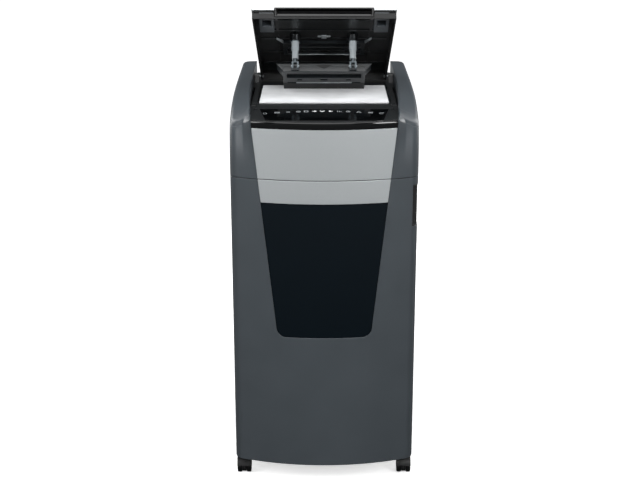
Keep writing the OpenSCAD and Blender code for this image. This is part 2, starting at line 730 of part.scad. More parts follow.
// Pins with a foot plate that fixes them inside the door's corner, above and below.
module door_hinge_pins() {
    color(steel) for (top = [0, 1]) {
        z0 = top ? door_top - 4 : base_z + 4;
        z1 = top ? head_z + 4 : pan_bottom;
        rod_z(door_pin_x, door_pin_y, door_pin_d / 2, min(z0, z1), max(z0, z1));
        translate([0, 0, top ? z0 - 3 : z0]) linear_extrude(3) intersection() {
            polygon(plan(wall + 0.05));
            translate([door_pin_x - 5, door_pin_y - 22]) square([8.4, 26]);
        }
    }
}
module door_grip() {
    color(rubber) difference() {
        intersection() {
            plan_block(0.6, grip_z0 + 0.3, grip_z1 - 0.3);
            box([half_w - grip_w - 3, corner_y - corner_r + 8, 0], [far, door_edge_y, far]);
        }
        box([half_w - grip_w + 0.5, -far, grip_z0 + 3.3], [far, door_edge_y - 3, grip_z1 - 3.3]);
        intersection() {
            box([-far, -far, 0], [half_w - grip_w, far, far]);
            difference() { plan_block(-1, 0, far); plan_block(wall + 0.3, 0, far); }
        }
    }
}

// ---- Waste bin ----
module waste_bin() {
    color("#4a4f52") difference() {
        box([-bin_half, bin_front, bin_z], [bin_half, bin_back, bin_z + bin_h]);
        box([-bin_half + bin_wall, bin_front + bin_wall, bin_z + bin_wall],
            [bin_half - bin_wall, bin_back - bin_wall, far]);
    }
}
module bin_handle() {
    z = bin_z + bin_h - 60;
    color(rubber) difference() {
        box([-60, bin_front - 16, z], [60, bin_front, z + 14]);
        box([-52, bin_front - 12, z - 1], [52, bin_front + 1, z + 15]);
    }
}

// ---- Lid, drawn closed about its hinge axis, then swung open ----
function lid_half(l) = lid_half_back + (lid_half_front - lid_half_back) * l / lid_len;
module lid_outline(grow, front) {
    polygon([[-lid_half(0) - grow, lid_rear_r + grow], [lid_half(0) + grow, lid_rear_r + grow],
        [lid_half(lid_len) + grow, -front - grow], [-lid_half(lid_len) - grow, -front - grow]]);
}
module lid_slab(grow, front, z0, z1) { translate([0, 0, z0]) linear_extrude(z1 - z0) lid_outline(grow, front); }
lid_grip_half = 113;
module lid_side_profile() {
    union() {
        translate([0, 0]) circle(r = lid_rear_r);
        polygon([[0, -lid_rear_r], [lid_rear_r, 0], [lid_rear_r, lid_top + 1], [-far, lid_top + 1],
            [-far, lid_bottom - 3], [-4, lid_bottom - 3]]);
    }
}
module lid_shell() {
    color(dark_grey) in_lid() intersection() {
        difference() {
            union() {
                lid_slab(0, lid_len, lid_bottom, 7);
                lid_slab(-3, lid_len, 6, 14);
            }
            translate([0, -2.5, 0]) lid_slab(-wall, lid_len - 2.5, lid_bottom - 5, lid_ceiling);
            box([-lid_grip_half - 0.3, -far, -3], [lid_grip_half + 0.3, -lid_len + 16.3, 20]);
            rod_x(0, 0, lid_pin_d / 2, -far, far);
        }
        along_x(-far, far) lid_side_profile();
    }
}
module lid_top_plate() {
    color(silver) in_lid() difference() {
        lid_slab(1.6, lid_len, 14, lid_top);
        lid_slab(-2, lid_len, 13, 18);
        box([-lid_grip_half - 0.3, -far, 0], [lid_grip_half + 0.3, -lid_len + 16.3, 40]);
        box([-far, lid_rear_r - 4, 0], [far, far, 40]);
    }
}
// Gloss finger recess in the middle of the lid's front edge.
module lid_grip() {
    color(gloss_black) in_lid() difference() {
        box([-lid_grip_half, -lid_len - 1, -2.7], [lid_grip_half, -lid_len + 16, lid_top - 0.6]);
        box([-lid_grip_half + 5, -far, 1], [lid_grip_half - 5, -lid_len + 12, lid_top - 5]);
    }
}
module lid_corner_blocks() {
    color(charcoal) in_lid() both_sides() difference() {
        box([115, -lid_len + 4, -6], [148, -lid_len + 70, lid_ceiling]);
        box([121, -lid_len + 10, -7], [142, -lid_len + 40, lid_ceiling - 3]);
    }
}
module lid_hinge_pins() {
    color(steel) in_lid() both_sides()
        rod_x(0, 0, lid_pin_d / 2, lid_half(0) - 3 - 3, foot_back - 4);
}
socket_r = sleeve_d / 2 + 3.5;
sleeve_len = 25;
sleeve_wall = 1.2;
upper_r = sleeve_d / 2;
lower_r = upper_r - sleeve_wall - 0.1;
rod_r = lower_r - sleeve_wall - 0.1;
socket_bottom = plate_bottom + plate_travel + 28;
upper_z = socket_bottom - 21;
lower_z = upper_z - 22;
clevis_z = plate_bottom + 8;
module at_struts() { in_lid() both_sides() translate([strut_x, -strut_l, 0]) children(); }
module tube(r, inner, z0, z1) {
    translate([0, 0, z0]) difference() {
        cylinder(r = r, h = z1 - z0);
        translate([0, 0, -1]) cylinder(r = inner, h = z1 - z0 + 2);
    }
}
module strut_sockets() { color(steel) at_struts() tube(socket_r, upper_r + 0.1, socket_bottom, lid_ceiling); }
module strut_upper_sleeves() {
    color(steel) at_struts() tube(upper_r, lower_r + 0.1, upper_z, upper_z + sleeve_len);
}
module strut_lower_sleeves() {
    color(steel) at_struts() tube(lower_r, rod_r + 0.1, lower_z, lower_z + sleeve_len);
}
clevis_half = 8;
lug_half = 4;
module plate_rods() {
    color(steel) at_struts() difference() {
        union() {
            tube(rod_r, rod_r - 1.2, clevis_z + 8, lower_z + 2);
            box([-clevis_half, -6, plate_bottom + 0.5], [clevis_half, 6, clevis_z + 9]);
        }
        box([-lug_half - 0.3, -7, plate_bottom - 1], [lug_half + 0.3, 7, clevis_z + 6]);
        rod_x(0, clevis_z, 2.5, -clevis_half - 1, clevis_half + 1);
    }
}
module clevis_pins() { color(steel) at_struts() rod_x(0, clevis_z, 2.45, -clevis_half - 1.5, clevis_half + 1.5); }
spring_r = rod_r - 2.2;
spring_wire = 0.6;
spring_turns = 9;
// Coil spring inside each strut, from the plate up to the lid.
module plate_springs() {
    z0 = clevis_z + 9.5;
    z1 = lid_ceiling - 1;
    steps = 10;
    sides = 4;
    n = spring_turns * steps;
    ring = [for (i = [0:n]) let (a = 360 * i / steps, z = z0 + (z1 - z0) * i / n)
        for (j = [0:sides - 1]) let (b = 360 * j / sides, r = spring_r + spring_wire * cos(b))
            [r * cos(a), r * sin(a), z + spring_wire * sin(b)]];
    skin = [for (i = [0:n - 1]) for (j = [0:sides - 1])
        let (p = i * sides + j, q = i * sides + (j + 1) % sides)
        for (f = [[p, p + sides, q], [q, p + sides, q + sides]]) f];
    ends = [[for (j = [0:sides - 1]) j], [for (j = [sides - 1:-1:0]) n * sides + j]];
    color(steel) at_struts() polyhedron(ring, concat(skin, ends));
}
module pressure_plate() {
    top = plate_bottom + plate_t;
    wing = 14;
    color(charcoal) in_lid() difference() {
        union() {
            along_y(-plate_front, -plate_back)
                polygon([[-plate_half + wing, plate_bottom], [plate_half - wing, plate_bottom],
                    [plate_half - wing, plate_bottom + 3], [plate_half, top - 2], [plate_half, top],
                    [-plate_half, top], [-plate_half, top - 2], [-plate_half + wing, plate_bottom + 3]]);
            both_sides() hull() {
                rod_x(-strut_l, clevis_z, 6, strut_x - lug_half, strut_x + lug_half);
                box([strut_x - lug_half, -plate_front - 0.1, clevis_z - 6],
                    [strut_x + lug_half, -plate_front + 1, clevis_z + 6]);
            }
        }
        box([-plate_half + wing + 6, -plate_front + 8, plate_bottom + 5],
            [plate_half - wing - 6, -plate_back - 8, top + 1]);
        both_sides() rod_x(-strut_l, clevis_z, 2.5, strut_x - 10, strut_x + 10);
    }
}

// ---- Casters, drawn with the swivel axis on Z ----
module caster_fork() {
    hood_in = wheel_d / 2 + hood_gap;
    hood_out = hood_in + hood_t;
    half = hub_half + 1 + wheel_w;
    color(rubber) difference() {
        union() {
            rod_x(-trail, axle_z, wheel_d / 2 - 2, -hub_half, hub_half);
            box([-hub_half, -trail, axle_z], [hub_half, 6, axle_z + 14]);
            intersection() {
                rod_x(-trail, axle_z, hood_out, -half, half);
                box([-far, -far, axle_z + 4], [far, far, far]);
            }
            rod_z(0, 0, stem_d / 2 + 3, axle_z + 10, pan_bottom - 0.6);
        }
        for (s = [-1, 1])
            rod_x(-trail, axle_z, hood_in, s > 0 ? hub_half : -half - 1, s > 0 ? half + 1 : -hub_half);
    }
    color(steel) {
        rod_z(0, 0, stem_d / 2, axle_z + 14, stem_top - 1);
        rod_x(-trail, axle_z, axle_d / 2, -half + 2.5, half - 2.5);
    }
}
module caster_wheels() {
    color(rubber) for (s = [-1, 1]) {
        x0 = s > 0 ? hub_half + 1 : -hub_half - 1 - wheel_w;
        difference() {
            rod_x(-trail, axle_z, wheel_d / 2, x0, x0 + wheel_w);
            rod_x(-trail, axle_z, axle_d / 2 + fit, s > 0 ? x0 - 1 : x0 + 2, s > 0 ? x0 + wheel_w - 2 : x0 + wheel_w + 1);
        }
    }
}
module at_corner(sx, y) { translate([sx * caster_x, y, 0]) children(); }
module caster_fork_fl() { at_corner(-1, caster_front_y) caster_fork(); }
module caster_fork_fr() { at_corner(1, caster_front_y) caster_fork(); }
module caster_fork_rl() { at_corner(-1, caster_back_y) caster_fork(); }
module caster_fork_rr() { at_corner(1, caster_back_y) caster_fork(); }
module caster_wheels_fl() { at_corner(-1, caster_front_y) caster_wheels(); }
module caster_wheels_fr() { at_corner(1, caster_front_y) caster_wheels(); }
module caster_wheels_rl() { at_corner(-1, caster_back_y) caster_wheels(); }
module caster_wheels_rr() { at_corner(1, caster_back_y) caster_wheels(); }

base_pan();
left_side_panel();
right_side_panel();
rear_panel();
mechanism_shelf();
head_left_cover();
head_right_cover();
head_rear_cover();
head_front_panel();
front_lip();
control_deck();
control_glass();
tray_front_wall();
paper_tray();
tray_rails();
rear_deck();
mechanism_frame();
stripper_combs();
drive_motor();
control_board();
power_inlet();
power_switch();
rear_screws();
bin_full_flap();
door_skin();
door_silver_strip();
door_window();
door_inner_frame();
door_hinge_pins();
door_grip();
waste_bin();
bin_handle();
lid_top_plate();
lid_shell();
lid_grip();
lid_corner_blocks();
lid_hinge_pins();
strut_sockets();
strut_upper_sleeves();
strut_lower_sleeves();
plate_rods();
clevis_pins();
plate_springs();
pressure_plate();
cutter_front();
cutter_rear();
cutter_gear_front();
cutter_gear_rear();
feed_roller_front();
feed_roller_rear();
idler_gear();
motor_shaft();
caster_fork_fl();
caster_fork_fr();
caster_fork_rl();
caster_fork_rr();
caster_wheels_fl();
caster_wheels_fr();
caster_wheels_rl();
caster_wheels_rr();
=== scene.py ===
"""Looks for an auto-feed office paper shredder: finishes, covers, small details, stage and camera."""

import json
import math

import bmesh
import bpy
from mathutils import Matrix, Vector


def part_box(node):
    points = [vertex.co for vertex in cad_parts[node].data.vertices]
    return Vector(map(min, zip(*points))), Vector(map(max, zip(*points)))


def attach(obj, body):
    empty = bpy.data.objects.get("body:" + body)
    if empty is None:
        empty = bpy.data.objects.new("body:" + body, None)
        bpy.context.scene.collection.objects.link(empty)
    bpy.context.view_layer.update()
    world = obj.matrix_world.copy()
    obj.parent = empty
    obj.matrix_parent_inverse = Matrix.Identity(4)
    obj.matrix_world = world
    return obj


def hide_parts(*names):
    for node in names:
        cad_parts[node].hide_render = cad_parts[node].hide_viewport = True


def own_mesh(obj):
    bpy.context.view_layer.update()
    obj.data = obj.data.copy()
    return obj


bl_info = {
    "name": "Paper shredder looks",
    "version": (1, 0, 0),
    "blender": (4, 5, 0),
    "location": "3D View > Sidebar > Shredder",
    "description": "Dresses the shredder's frame with finishes, smooth covers and small details",
    "category": "Object",
}

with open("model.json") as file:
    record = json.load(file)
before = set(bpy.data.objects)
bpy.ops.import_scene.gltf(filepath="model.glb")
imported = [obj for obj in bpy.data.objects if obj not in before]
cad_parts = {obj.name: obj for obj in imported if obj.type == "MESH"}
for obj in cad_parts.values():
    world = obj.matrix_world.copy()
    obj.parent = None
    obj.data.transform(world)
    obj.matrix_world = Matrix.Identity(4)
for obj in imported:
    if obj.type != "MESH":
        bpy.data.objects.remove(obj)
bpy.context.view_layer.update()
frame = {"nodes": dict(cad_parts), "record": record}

MM = 0.001

# Plan of the cabinet, in millimetres: a bowed front between round corners.
FRONT_Y, BACK_Y, HALF_W = -305.0, 305.0, 210.0
BOW_R, CORNER_R, REAR_R = 550.0, 28.0, 14.0
BOW_CY = FRONT_Y + BOW_R
CORNER_X = HALF_W - CORNER_R
CORNER_Y = BOW_CY - math.sqrt((BOW_R - CORNER_R) ** 2 - CORNER_X**2)
BOW_A = math.degrees(math.asin(CORNER_X / (BOW_R - CORNER_R)))

# Heights of the head's seam, the deck behind the arms and the gloss lip.
HEAD_Z, SUB_DECK_Z = 749.8, 868.0
LIP_Z, LIP_TOP_Z = 863.0, 879.0
DECK_SLOPE = (886.0 - 879.0) / 118.0

# Arms: the foot of their inner wall, and how their top falls to the front.
FOOT_BACK, FOOT_FRONT, FOOT_RUN_Y = 174.0, 160.0, 100.0
ARM_TOP_Z = 912.0
OUTER_DROP, OUTER_RUN = 62.0, 75.0
INNER_DROP, INNER_RUN = 33.0, 110.0
# The arms' front leans back by this much at the top of a large round shoulder.
FRONT_LEAN, SHOULDER_Z, SHOULDER_RISE = 24.0, 765.0, 110.0
# Rounding of their edges, and where the outer one changes to the radius that the user sets.
FRONT_EDGE_R, INNER_EDGE_R, EDGE_FROM_Y, EDGE_TO_Y = 9.0, 4.0, -215.0, 15.0

# Tapered front panel: half width at its foot, the foot's height, and growth for each millimetre.
PANEL_FOOT, PANEL_FOOT_Z, PANEL_TAPER = 105.8, 380.0, 0.111

# Lid: hinge axis and the angle at which it stands open.
HINGE_Y, HINGE_Z, LID_OPEN = 172.0, 895.0, math.radians(35.0)

# Struts: distance from the middle and from the hinge; the pressure plate's front wall.
STRUT_X, STRUT_ALONG, PLATE_FRONT = 67.5, 213.0, 200.0
LID_TURN = Matrix.Translation((0, HINGE_Y, HINGE_Z)) @ Matrix.Rotation(-LID_OPEN, 4, "X")


def bow_y(x, inset=0.0):
    """Depth of the bowed front at a distance from the middle."""
    return BOW_CY - math.sqrt((BOW_R - inset) ** 2 - x * x)


def foot_x(y):
    """Distance of an arm's inner foot from the middle."""
    if y > FOOT_RUN_Y:
        return FOOT_BACK
    return FOOT_BACK - (FOOT_BACK - FOOT_FRONT) * ((FOOT_RUN_Y - y) / (FOOT_RUN_Y - FRONT_Y)) ** 2


def arm_top(x, y):
    """Height of the head's upper surface over a point of the plan."""
    outer = ARM_TOP_Z - OUTER_DROP * math.exp(-(y - FRONT_Y - 52.0) / OUTER_RUN)
    inner = ARM_TOP_Z - INNER_DROP * math.exp(-(y - FRONT_Y - 18.0) / INNER_RUN)
    foot = foot_x(y)
    return inner + (outer - inner) * max(0.0, (x - foot) / (HALF_W - foot))


def arm_lean(z):
    """How far the arms' front leans back at a height."""
    return FRONT_LEAN * max(0.0, min(1.0, (z - SHOULDER_Z) / SHOULDER_RISE)) ** 2


def panel_half(z):
    """Half width of the tapered front panel at a height."""
    return PANEL_FOOT + PANEL_TAPER * (z - PANEL_FOOT_Z)


def lid_point(x, along, up):
    """A point of the closed lid, by its distance from the hinge and its height, on the open lid."""
    return LID_TURN @ Vector((x, -along, up))


def arc(cx, cy, r, a0, a1, n):
    """Points of an arc between two angles in degrees."""
    angles = [math.radians(a0 + (a1 - a0) * i / n) for i in range(n + 1)]
    return [(cx + r * math.cos(a), cy + r * math.sin(a)) for a in angles]


# ---- Meshes ----


def make_object(name, points, faces, smooth=True):
    """A mesh object from points in millimetres in the frame, welded, with its normals outwards."""
    mesh = bpy.data.meshes.new(name)
    mesh.from_pydata([Vector(p) * MM for p in points], [], faces)
    work = bmesh.new()
    work.from_mesh(mesh)
    bmesh.ops.remove_doubles(work, verts=work.verts, dist=1e-6)
    bmesh.ops.recalc_face_normals(work, faces=work.faces)
    work.to_mesh(mesh)
    work.free()
    for face in mesh.polygons:
        face.use_smooth = smooth
    obj = bpy.data.objects.new(name, mesh)
    bpy.context.scene.collection.objects.link(obj)
    return obj


def grid_faces(rows, columns, around=False):
    """Faces of a net of rows by columns; around joins the last column to the first."""
    faces = []
    for i in range(rows - 1):
        for j in range(columns if around else columns - 1):
            k = (j + 1) % columns
            low, high = i * columns, (i + 1) * columns
            faces.append((low + j, low + k, high + k, high + j))
    return faces


def lid_body(name, rings):
    """A closed body through rings of (x, distance from the hinge, height) in the closed lid."""
    return loft(name, [[lid_point(*point) for point in ring] for ring in rings])


def loft(name, rings):
    """A closed body through equal rings of points, with flat ends."""
    count = len(rings[0])
    faces = grid_faces(len(rings), count, around=True)
    faces.append(tuple(range(count)))
    faces.append(tuple((len(rings) - 1) * count + j for j in reversed(range(count))))
    return make_object(name, [p for ring in rings for p in ring], faces)


def lathe(name, profile, place, steps=40):
    """A body turned about X from (x, radius) pairs, moved to its place."""
    points = []
    for i in range(steps):
        a = 2 * math.pi * i / steps
        points += [
            (x + place[0], place[1] + r * math.cos(a), place[2] + r * math.sin(a)) for x, r in profile
        ]
    count = len(profile)
    faces = []
    for i in range(steps):
        row, after = i * count, (i + 1) % steps * count
        for j in range(count - 1):
            faces.append((row + j, row + j + 1, after + j + 1, after + j))
    return make_object(name, points, faces)


def relief(name, xs, ys, level, back, place, dark=()):
    """A plate with stepped fields: level(i, j) is the height of the field in column i and row j, and None
    leaves it open. The fields in dark take the second material, which the callers give as near-black painted
    shade in recesses, grooves and holes."""
    points, index, faces = [], {}, []

    def vertex(x, y, z):
        key = (round(x, 4), round(y, 4), round(z, 4))
        if key not in index:
            index[key] = len(points)
            points.append(place(x, y, z))
        return index[key]

    columns, rows = len(xs) - 1, len(ys) - 1

    def height(i, j):
        inside = 0 <= i < columns and 0 <= j < rows
        found = level(i, j) if inside else None
        return back if found is None else found

    def corner_levels(i, j):
        return {height(i - a, j - b) for a in (0, 1) for b in (0, 1)} | {back}

    def riser(p, q, a, b):
        if a == b:
            return
        low, high = min(a, b), max(a, b)
        up, down = (
            [vertex(xs[i], ys[j], z) for z in sorted(corner_levels(i, j)) if low <= z <= high]
            for i, j in (p, q)
        )
        faces.append(tuple(up + down[::-1]))

    for i in range(columns):
        for j in range(rows):
            if level(i, j) is None:
                continue
            corners = ((i, j), (i + 1, j), (i + 1, j + 1), (i, j + 1))
            for z in (height(i, j), back):
                faces.append(tuple(vertex(xs[a], ys[b], z) for a, b in corners))
    for i in range(columns + 1):
        for j in range(rows):
            riser((i, j), (i, j + 1), height(i - 1, j), height(i, j))
    for i in range(columns):
        for j in range(rows + 1):
            riser((i, j), (i + 1, j), height(i, j - 1), height(i, j))
    obj = make_object(name, points, faces, smooth=False)
    fields = [(i, j) for i in range(columns) for j in range(rows) if level(i, j) is not None]
    for number, field in enumerate(fields):
        obj.data.polygons[2 * number].material_index = 1 if field in dark else 0
    return obj


def add_bevel(obj, width_mm, segments=2, angle=35.0):
    """Rounds the edges and shades the rest smooth."""
    weld = obj.modifiers.new("Weld", "WELD")
    weld.merge_threshold = 1e-6
    bevel = obj.modifiers.new("Edges", "BEVEL")
    bevel.width = width_mm * MM
    bevel.segments = segments
    bevel.limit_method = "ANGLE"
    bevel.angle_limit = math.radians(angle)
    bevel.use_clamp_overlap = True
    bevel.harden_normals = False
    smooth = obj.modifiers.new("Smooth", "WEIGHTED_NORMAL")
    smooth.keep_sharp = True
    for face in obj.data.polygons:
        face.use_smooth = True
    return obj


def dress(obj, material, body=None, second=None, edge=None):
    """Gives a piece its finish, its body and, in millimetres, its edges' rounding."""
    kept = [face.material_index for face in obj.data.polygons]
    obj.data.materials.clear()
    obj.data.materials.append(material)
    if second:
        obj.data.materials.append(second)
        obj.data.polygons.foreach_set("material_index", kept)
    if body:
        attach(obj, body)
    if edge:
        add_bevel(obj, edge)
    return obj


# ---- Finishes ----


def linear(hex_colour):
    """A hex sRGB colour as linear RGBA."""
    out = []
    for i in (1, 3, 5):
        c = int(hex_colour[i : i + 2], 16) / 255
        out.append(c / 12.92 if c <= 0.04045 else ((c + 0.055) / 1.055) ** 2.4)
    return (*out, 1.0)


def add_node(tree, kind, inputs=None, **settings):
    """Adds one node. An input that is a socket is linked, and anything else is its value."""
    node = tree.nodes.new(kind)
    for key, value in settings.items():
        setattr(node, key, value)
    for key, value in (inputs or {}).items():
        if isinstance(value, bpy.types.NodeSocket):
            tree.links.new(value, node.inputs[key])
        else:
            node.inputs[key].default_value = value
    return node


def shade(hex_colour, factor):
    """A hex colour made darker or lighter."""
    r, g, b, a = linear(hex_colour)
    return (min(1, r * factor), min(1, g * factor), min(1, b * factor), a)


def new_finish(name):
    """An empty material with its shader, its output and coordinates in metres in the frame."""
    material = bpy.data.materials.new(name)
    material.use_nodes = True
    tree = material.node_tree
    tree.nodes.clear()
    shader = add_node(tree, "ShaderNodeBsdfPrincipled")
    add_node(tree, "ShaderNodeOutputMaterial", {"Surface": shader.outputs["BSDF"]})
    place = add_node(tree, "ShaderNodeTexCoord").outputs["Object"]
    return material, tree, shader, place


def set_shader(tree, shader, values):
    """Sets or links the shader's sockets."""
    for key, value in values.items():
        if isinstance(value, bpy.types.NodeSocket):
            tree.links.new(value, shader.inputs[key])
        else:
            shader.inputs[key].default_value = value


def grained_plastic(name, colour, roughness, grain_mm, depth_mm, ior=1.53, drift=0.05, coat=0.0):
    """Moulded plastic: fine grain from the tool as bump, faint flow mottling in colour and gloss."""
    material, tree, shader, place = new_finish(name)
    grain = add_node(
        tree,
        "ShaderNodeTexNoise",
        {"Vector": place, "Scale": 1000 / grain_mm, "Detail": 3.0, "Roughness": 0.6},
    )
    flow = add_node(tree, "ShaderNodeTexNoise", {"Vector": place, "Scale": 1000 / 90.0, "Detail": 2.0})
    tone = add_node(tree, "ShaderNodeValToRGB", {"Fac": flow.outputs["Fac"]})
    tone.color_ramp.elements[0].position, tone.color_ramp.elements[1].position = 0.3, 0.7
    tone.color_ramp.elements[0].color = shade(colour, 1 - drift)
    tone.color_ramp.elements[1].color = shade(colour, 1 + drift)
    speck = add_node(tree, "ShaderNodeValToRGB", {"Fac": grain.outputs["Fac"]})
    speck.color_ramp.elements[0].color = (0.9, 0.9, 0.9, 1)
    speck.color_ramp.elements[1].color = (1, 1, 1, 1)
    both = add_node(
        tree,
        "ShaderNodeMix",
        # The node keeps a socket for each data type, so the colours go in by their own places.
        {0: 1.0, 6: tone.outputs["Color"], 7: speck.outputs["Color"]},
        data_type="RGBA",
        blend_type="MULTIPLY",
    )
    gloss = add_node(
        tree,
        "ShaderNodeMapRange",
        {"Value": flow.outputs["Fac"], "To Min": roughness - 0.04, "To Max": roughness + 0.05},
    )
    bump = add_node(
        tree,
        "ShaderNodeBump",
        {"Height": grain.outputs["Fac"], "Strength": 0.35, "Distance": depth_mm * MM},
    )
    set_shader(
        tree,
        shader,
        {
            "Base Color": both.outputs[2],
            "Roughness": gloss.outputs["Result"],
            "IOR": ior,
            "Coat Weight": coat,
            "Coat Roughness": 0.15,
            "Normal": bump.outputs["Normal"],
        },
    )
    return material


def sprayed_silver(name, colour):
    """Metallic lacquer sprayed on ABS: small flakes that differ in tilt under a clear coat."""
    material, tree, shader, place = new_finish(name)
    # Real flakes are about 0.05 mm; 0.7 mm is the finest that shows.
    flakes = add_node(tree, "ShaderNodeTexVoronoi", {"Vector": place, "Scale": 1000 / 0.7})
    peel = add_node(tree, "ShaderNodeTexNoise", {"Vector": place, "Scale": 1000 / 6.0, "Detail": 1.0})
    tone = add_node(tree, "ShaderNodeValToRGB", {"Fac": flakes.outputs["Distance"]})
    tone.color_ramp.elements[0].color = shade(colour, 1.06)
    tone.color_ramp.elements[1].color = shade(colour, 0.9)
    rough = add_node(
        tree, "ShaderNodeMapRange", {"Value": flakes.outputs["Distance"], "To Min": 0.33, "To Max": 0.42}
    )
    bump = add_node(
        tree, "ShaderNodeBump", {"Height": peel.outputs["Fac"], "Strength": 0.12, "Distance": 0.02 * MM}
    )
    set_shader(
        tree,
        shader,
        {
            "Base Color": tone.outputs["Color"],
            "Metallic": 0.45,
            "Roughness": rough.outputs["Result"],
            "Coat Weight": 0.35,
            "Coat Roughness": 0.12,
            "Normal": bump.outputs["Normal"],
        },
    )
    return material


def polished_plastic(name, colour, roughness, coat):
    """Plastic from a polished tool: mirror-like, faintly wavy, with fine dust in the gloss."""
    material, tree, shader, place = new_finish(name)
    wave = add_node(tree, "ShaderNodeTexNoise", {"Vector": place, "Scale": 1000 / 60.0, "Detail": 1.0})
    dust = add_node(tree, "ShaderNodeTexNoise", {"Vector": place, "Scale": 1000 / 2.0, "Detail": 4.0})
    tone = add_node(tree, "ShaderNodeValToRGB", {"Fac": wave.outputs["Fac"]})
    tone.color_ramp.elements[0].color = shade(colour, 0.92)
    tone.color_ramp.elements[1].color = shade(colour, 1.08)
    rough = add_node(
        tree,
        "ShaderNodeMapRange",
        {"Value": dust.outputs["Fac"], "To Min": roughness, "To Max": roughness + 0.06},
    )
    bump = add_node(
        tree, "ShaderNodeBump", {"Height": wave.outputs["Fac"], "Strength": 0.08, "Distance": 0.1 * MM}
    )
    set_shader(
        tree,
        shader,
        {
            "Base Color": tone.outputs["Color"],
            "Roughness": rough.outputs["Result"],
            "IOR": 1.5,
            "Specular IOR Level": 0.28,
            "Coat Weight": coat,
            "Coat Roughness": 0.03,
            "Normal": bump.outputs["Normal"],
        },
    )
    return material


def worked_metal(name, colour, roughness, stretch, line_mm, depth_mm):
    """Bare or plated metal: fine lines from rolling, grinding or drawing, along the long side of stretch."""
    material, tree, shader, place = new_finish(name)
    long = add_node(tree, "ShaderNodeMapping", {"Vector": place, "Scale": stretch})
    lines = add_node(
        tree, "ShaderNodeTexNoise", {"Vector": long.outputs["Vector"], "Scale": 1000 / line_mm, "Detail": 4.0}
    )
    tone = add_node(tree, "ShaderNodeValToRGB", {"Fac": lines.outputs["Fac"]})
    tone.color_ramp.elements[0].color = shade(colour, 0.85)
    tone.color_ramp.elements[1].color = shade(colour, 1.1)
    rough = add_node(
        tree,
        "ShaderNodeMapRange",
        {"Value": lines.outputs["Fac"], "To Min": max(0.03, roughness - 0.06), "To Max": roughness + 0.08},
    )
    bump = add_node(
        tree, "ShaderNodeBump", {"Height": lines.outputs["Fac"], "Strength": 0.2, "Distance": depth_mm * MM}
    )
    set_shader(
        tree,
        shader,
        {
            "Base Color": tone.outputs["Color"],
            "Metallic": 1.0,
            "Roughness": rough.outputs["Result"],
            "Normal": bump.outputs["Normal"],
        },
    )
    return material


def zinc_plate(name, colour):
    """Zinc-plated sheet: soft crystal patches about 9 mm across that differ in brightness."""
    material, tree, shader, place = new_finish(name)
    spangle = add_node(tree, "ShaderNodeTexVoronoi", {"Vector": place, "Scale": 1000 / 9.0})
    tone = add_node(tree, "ShaderNodeValToRGB", {"Fac": spangle.outputs["Color"]})
    tone.color_ramp.elements[0].color = shade(colour, 0.8)
    tone.color_ramp.elements[1].color = shade(colour, 1.12)
    rough = add_node(
        tree, "ShaderNodeMapRange", {"Value": spangle.outputs["Distance"], "To Min": 0.36, "To Max": 0.5}
    )
    set_shader(
        tree,
        shader,
        {"Base Color": tone.outputs["Color"], "Metallic": 1.0, "Roughness": rough.outputs["Result"]},
    )
    return material


def solder_mask(name, colour):
    """Circuit board: green mask over thin copper tracks that show as a lighter raised net."""
    material, tree, shader, place = new_finish(name)
    tracks = add_node(
        tree,
        "ShaderNodeTexBrick",
        {
            "Vector": place,
            "Color1": shade(colour, 1.0),
            "Color2": shade(colour, 0.85),
            "Mortar": shade(colour, 1.8),
            "Scale": 1000 / 16.0,
            "Mortar Size": 0.03,
        },
    )
    bump = add_node(
        tree, "ShaderNodeBump", {"Height": tracks.outputs["Fac"], "Strength": 0.4, "Distance": 0.05 * MM}
    )
    set_shader(
        tree,
        shader,
        {"Base Color": tracks.outputs["Color"], "Roughness": 0.3, "Normal": bump.outputs["Normal"]},
    )
    return material


def paper_stack(name, colour):
    """Cut paper: the stack's sides show sheet edges as level lines, drawn 1.2 mm apart so that they show."""
    material, tree, shader, place = new_finish(name)
    flat = add_node(tree, "ShaderNodeMapping", {"Vector": place, "Scale": (0.02, 0.02, 1.0)})
    sheets = add_node(
        tree, "ShaderNodeTexNoise", {"Vector": flat.outputs["Vector"], "Scale": 1000 / 1.2, "Detail": 2.0}
    )
    tone = add_node(tree, "ShaderNodeValToRGB", {"Fac": sheets.outputs["Fac"]})
    tone.color_ramp.elements[0].position, tone.color_ramp.elements[1].position = 0.35, 0.65
    tone.color_ramp.elements[0].color = shade(colour, 0.86)
    tone.color_ramp.elements[1].color = shade(colour, 1.0)
    bump = add_node(
        tree, "ShaderNodeBump", {"Height": sheets.outputs["Fac"], "Strength": 0.3, "Distance": 0.2 * MM}
    )
    set_shader(
        tree,
        shader,
        {
            "Base Color": tone.outputs["Color"],
            "Roughness": 0.85,
            "Specular IOR Level": 0.2,
            "Normal": bump.outputs["Normal"],
        },
    )
    return material


finishes = {}


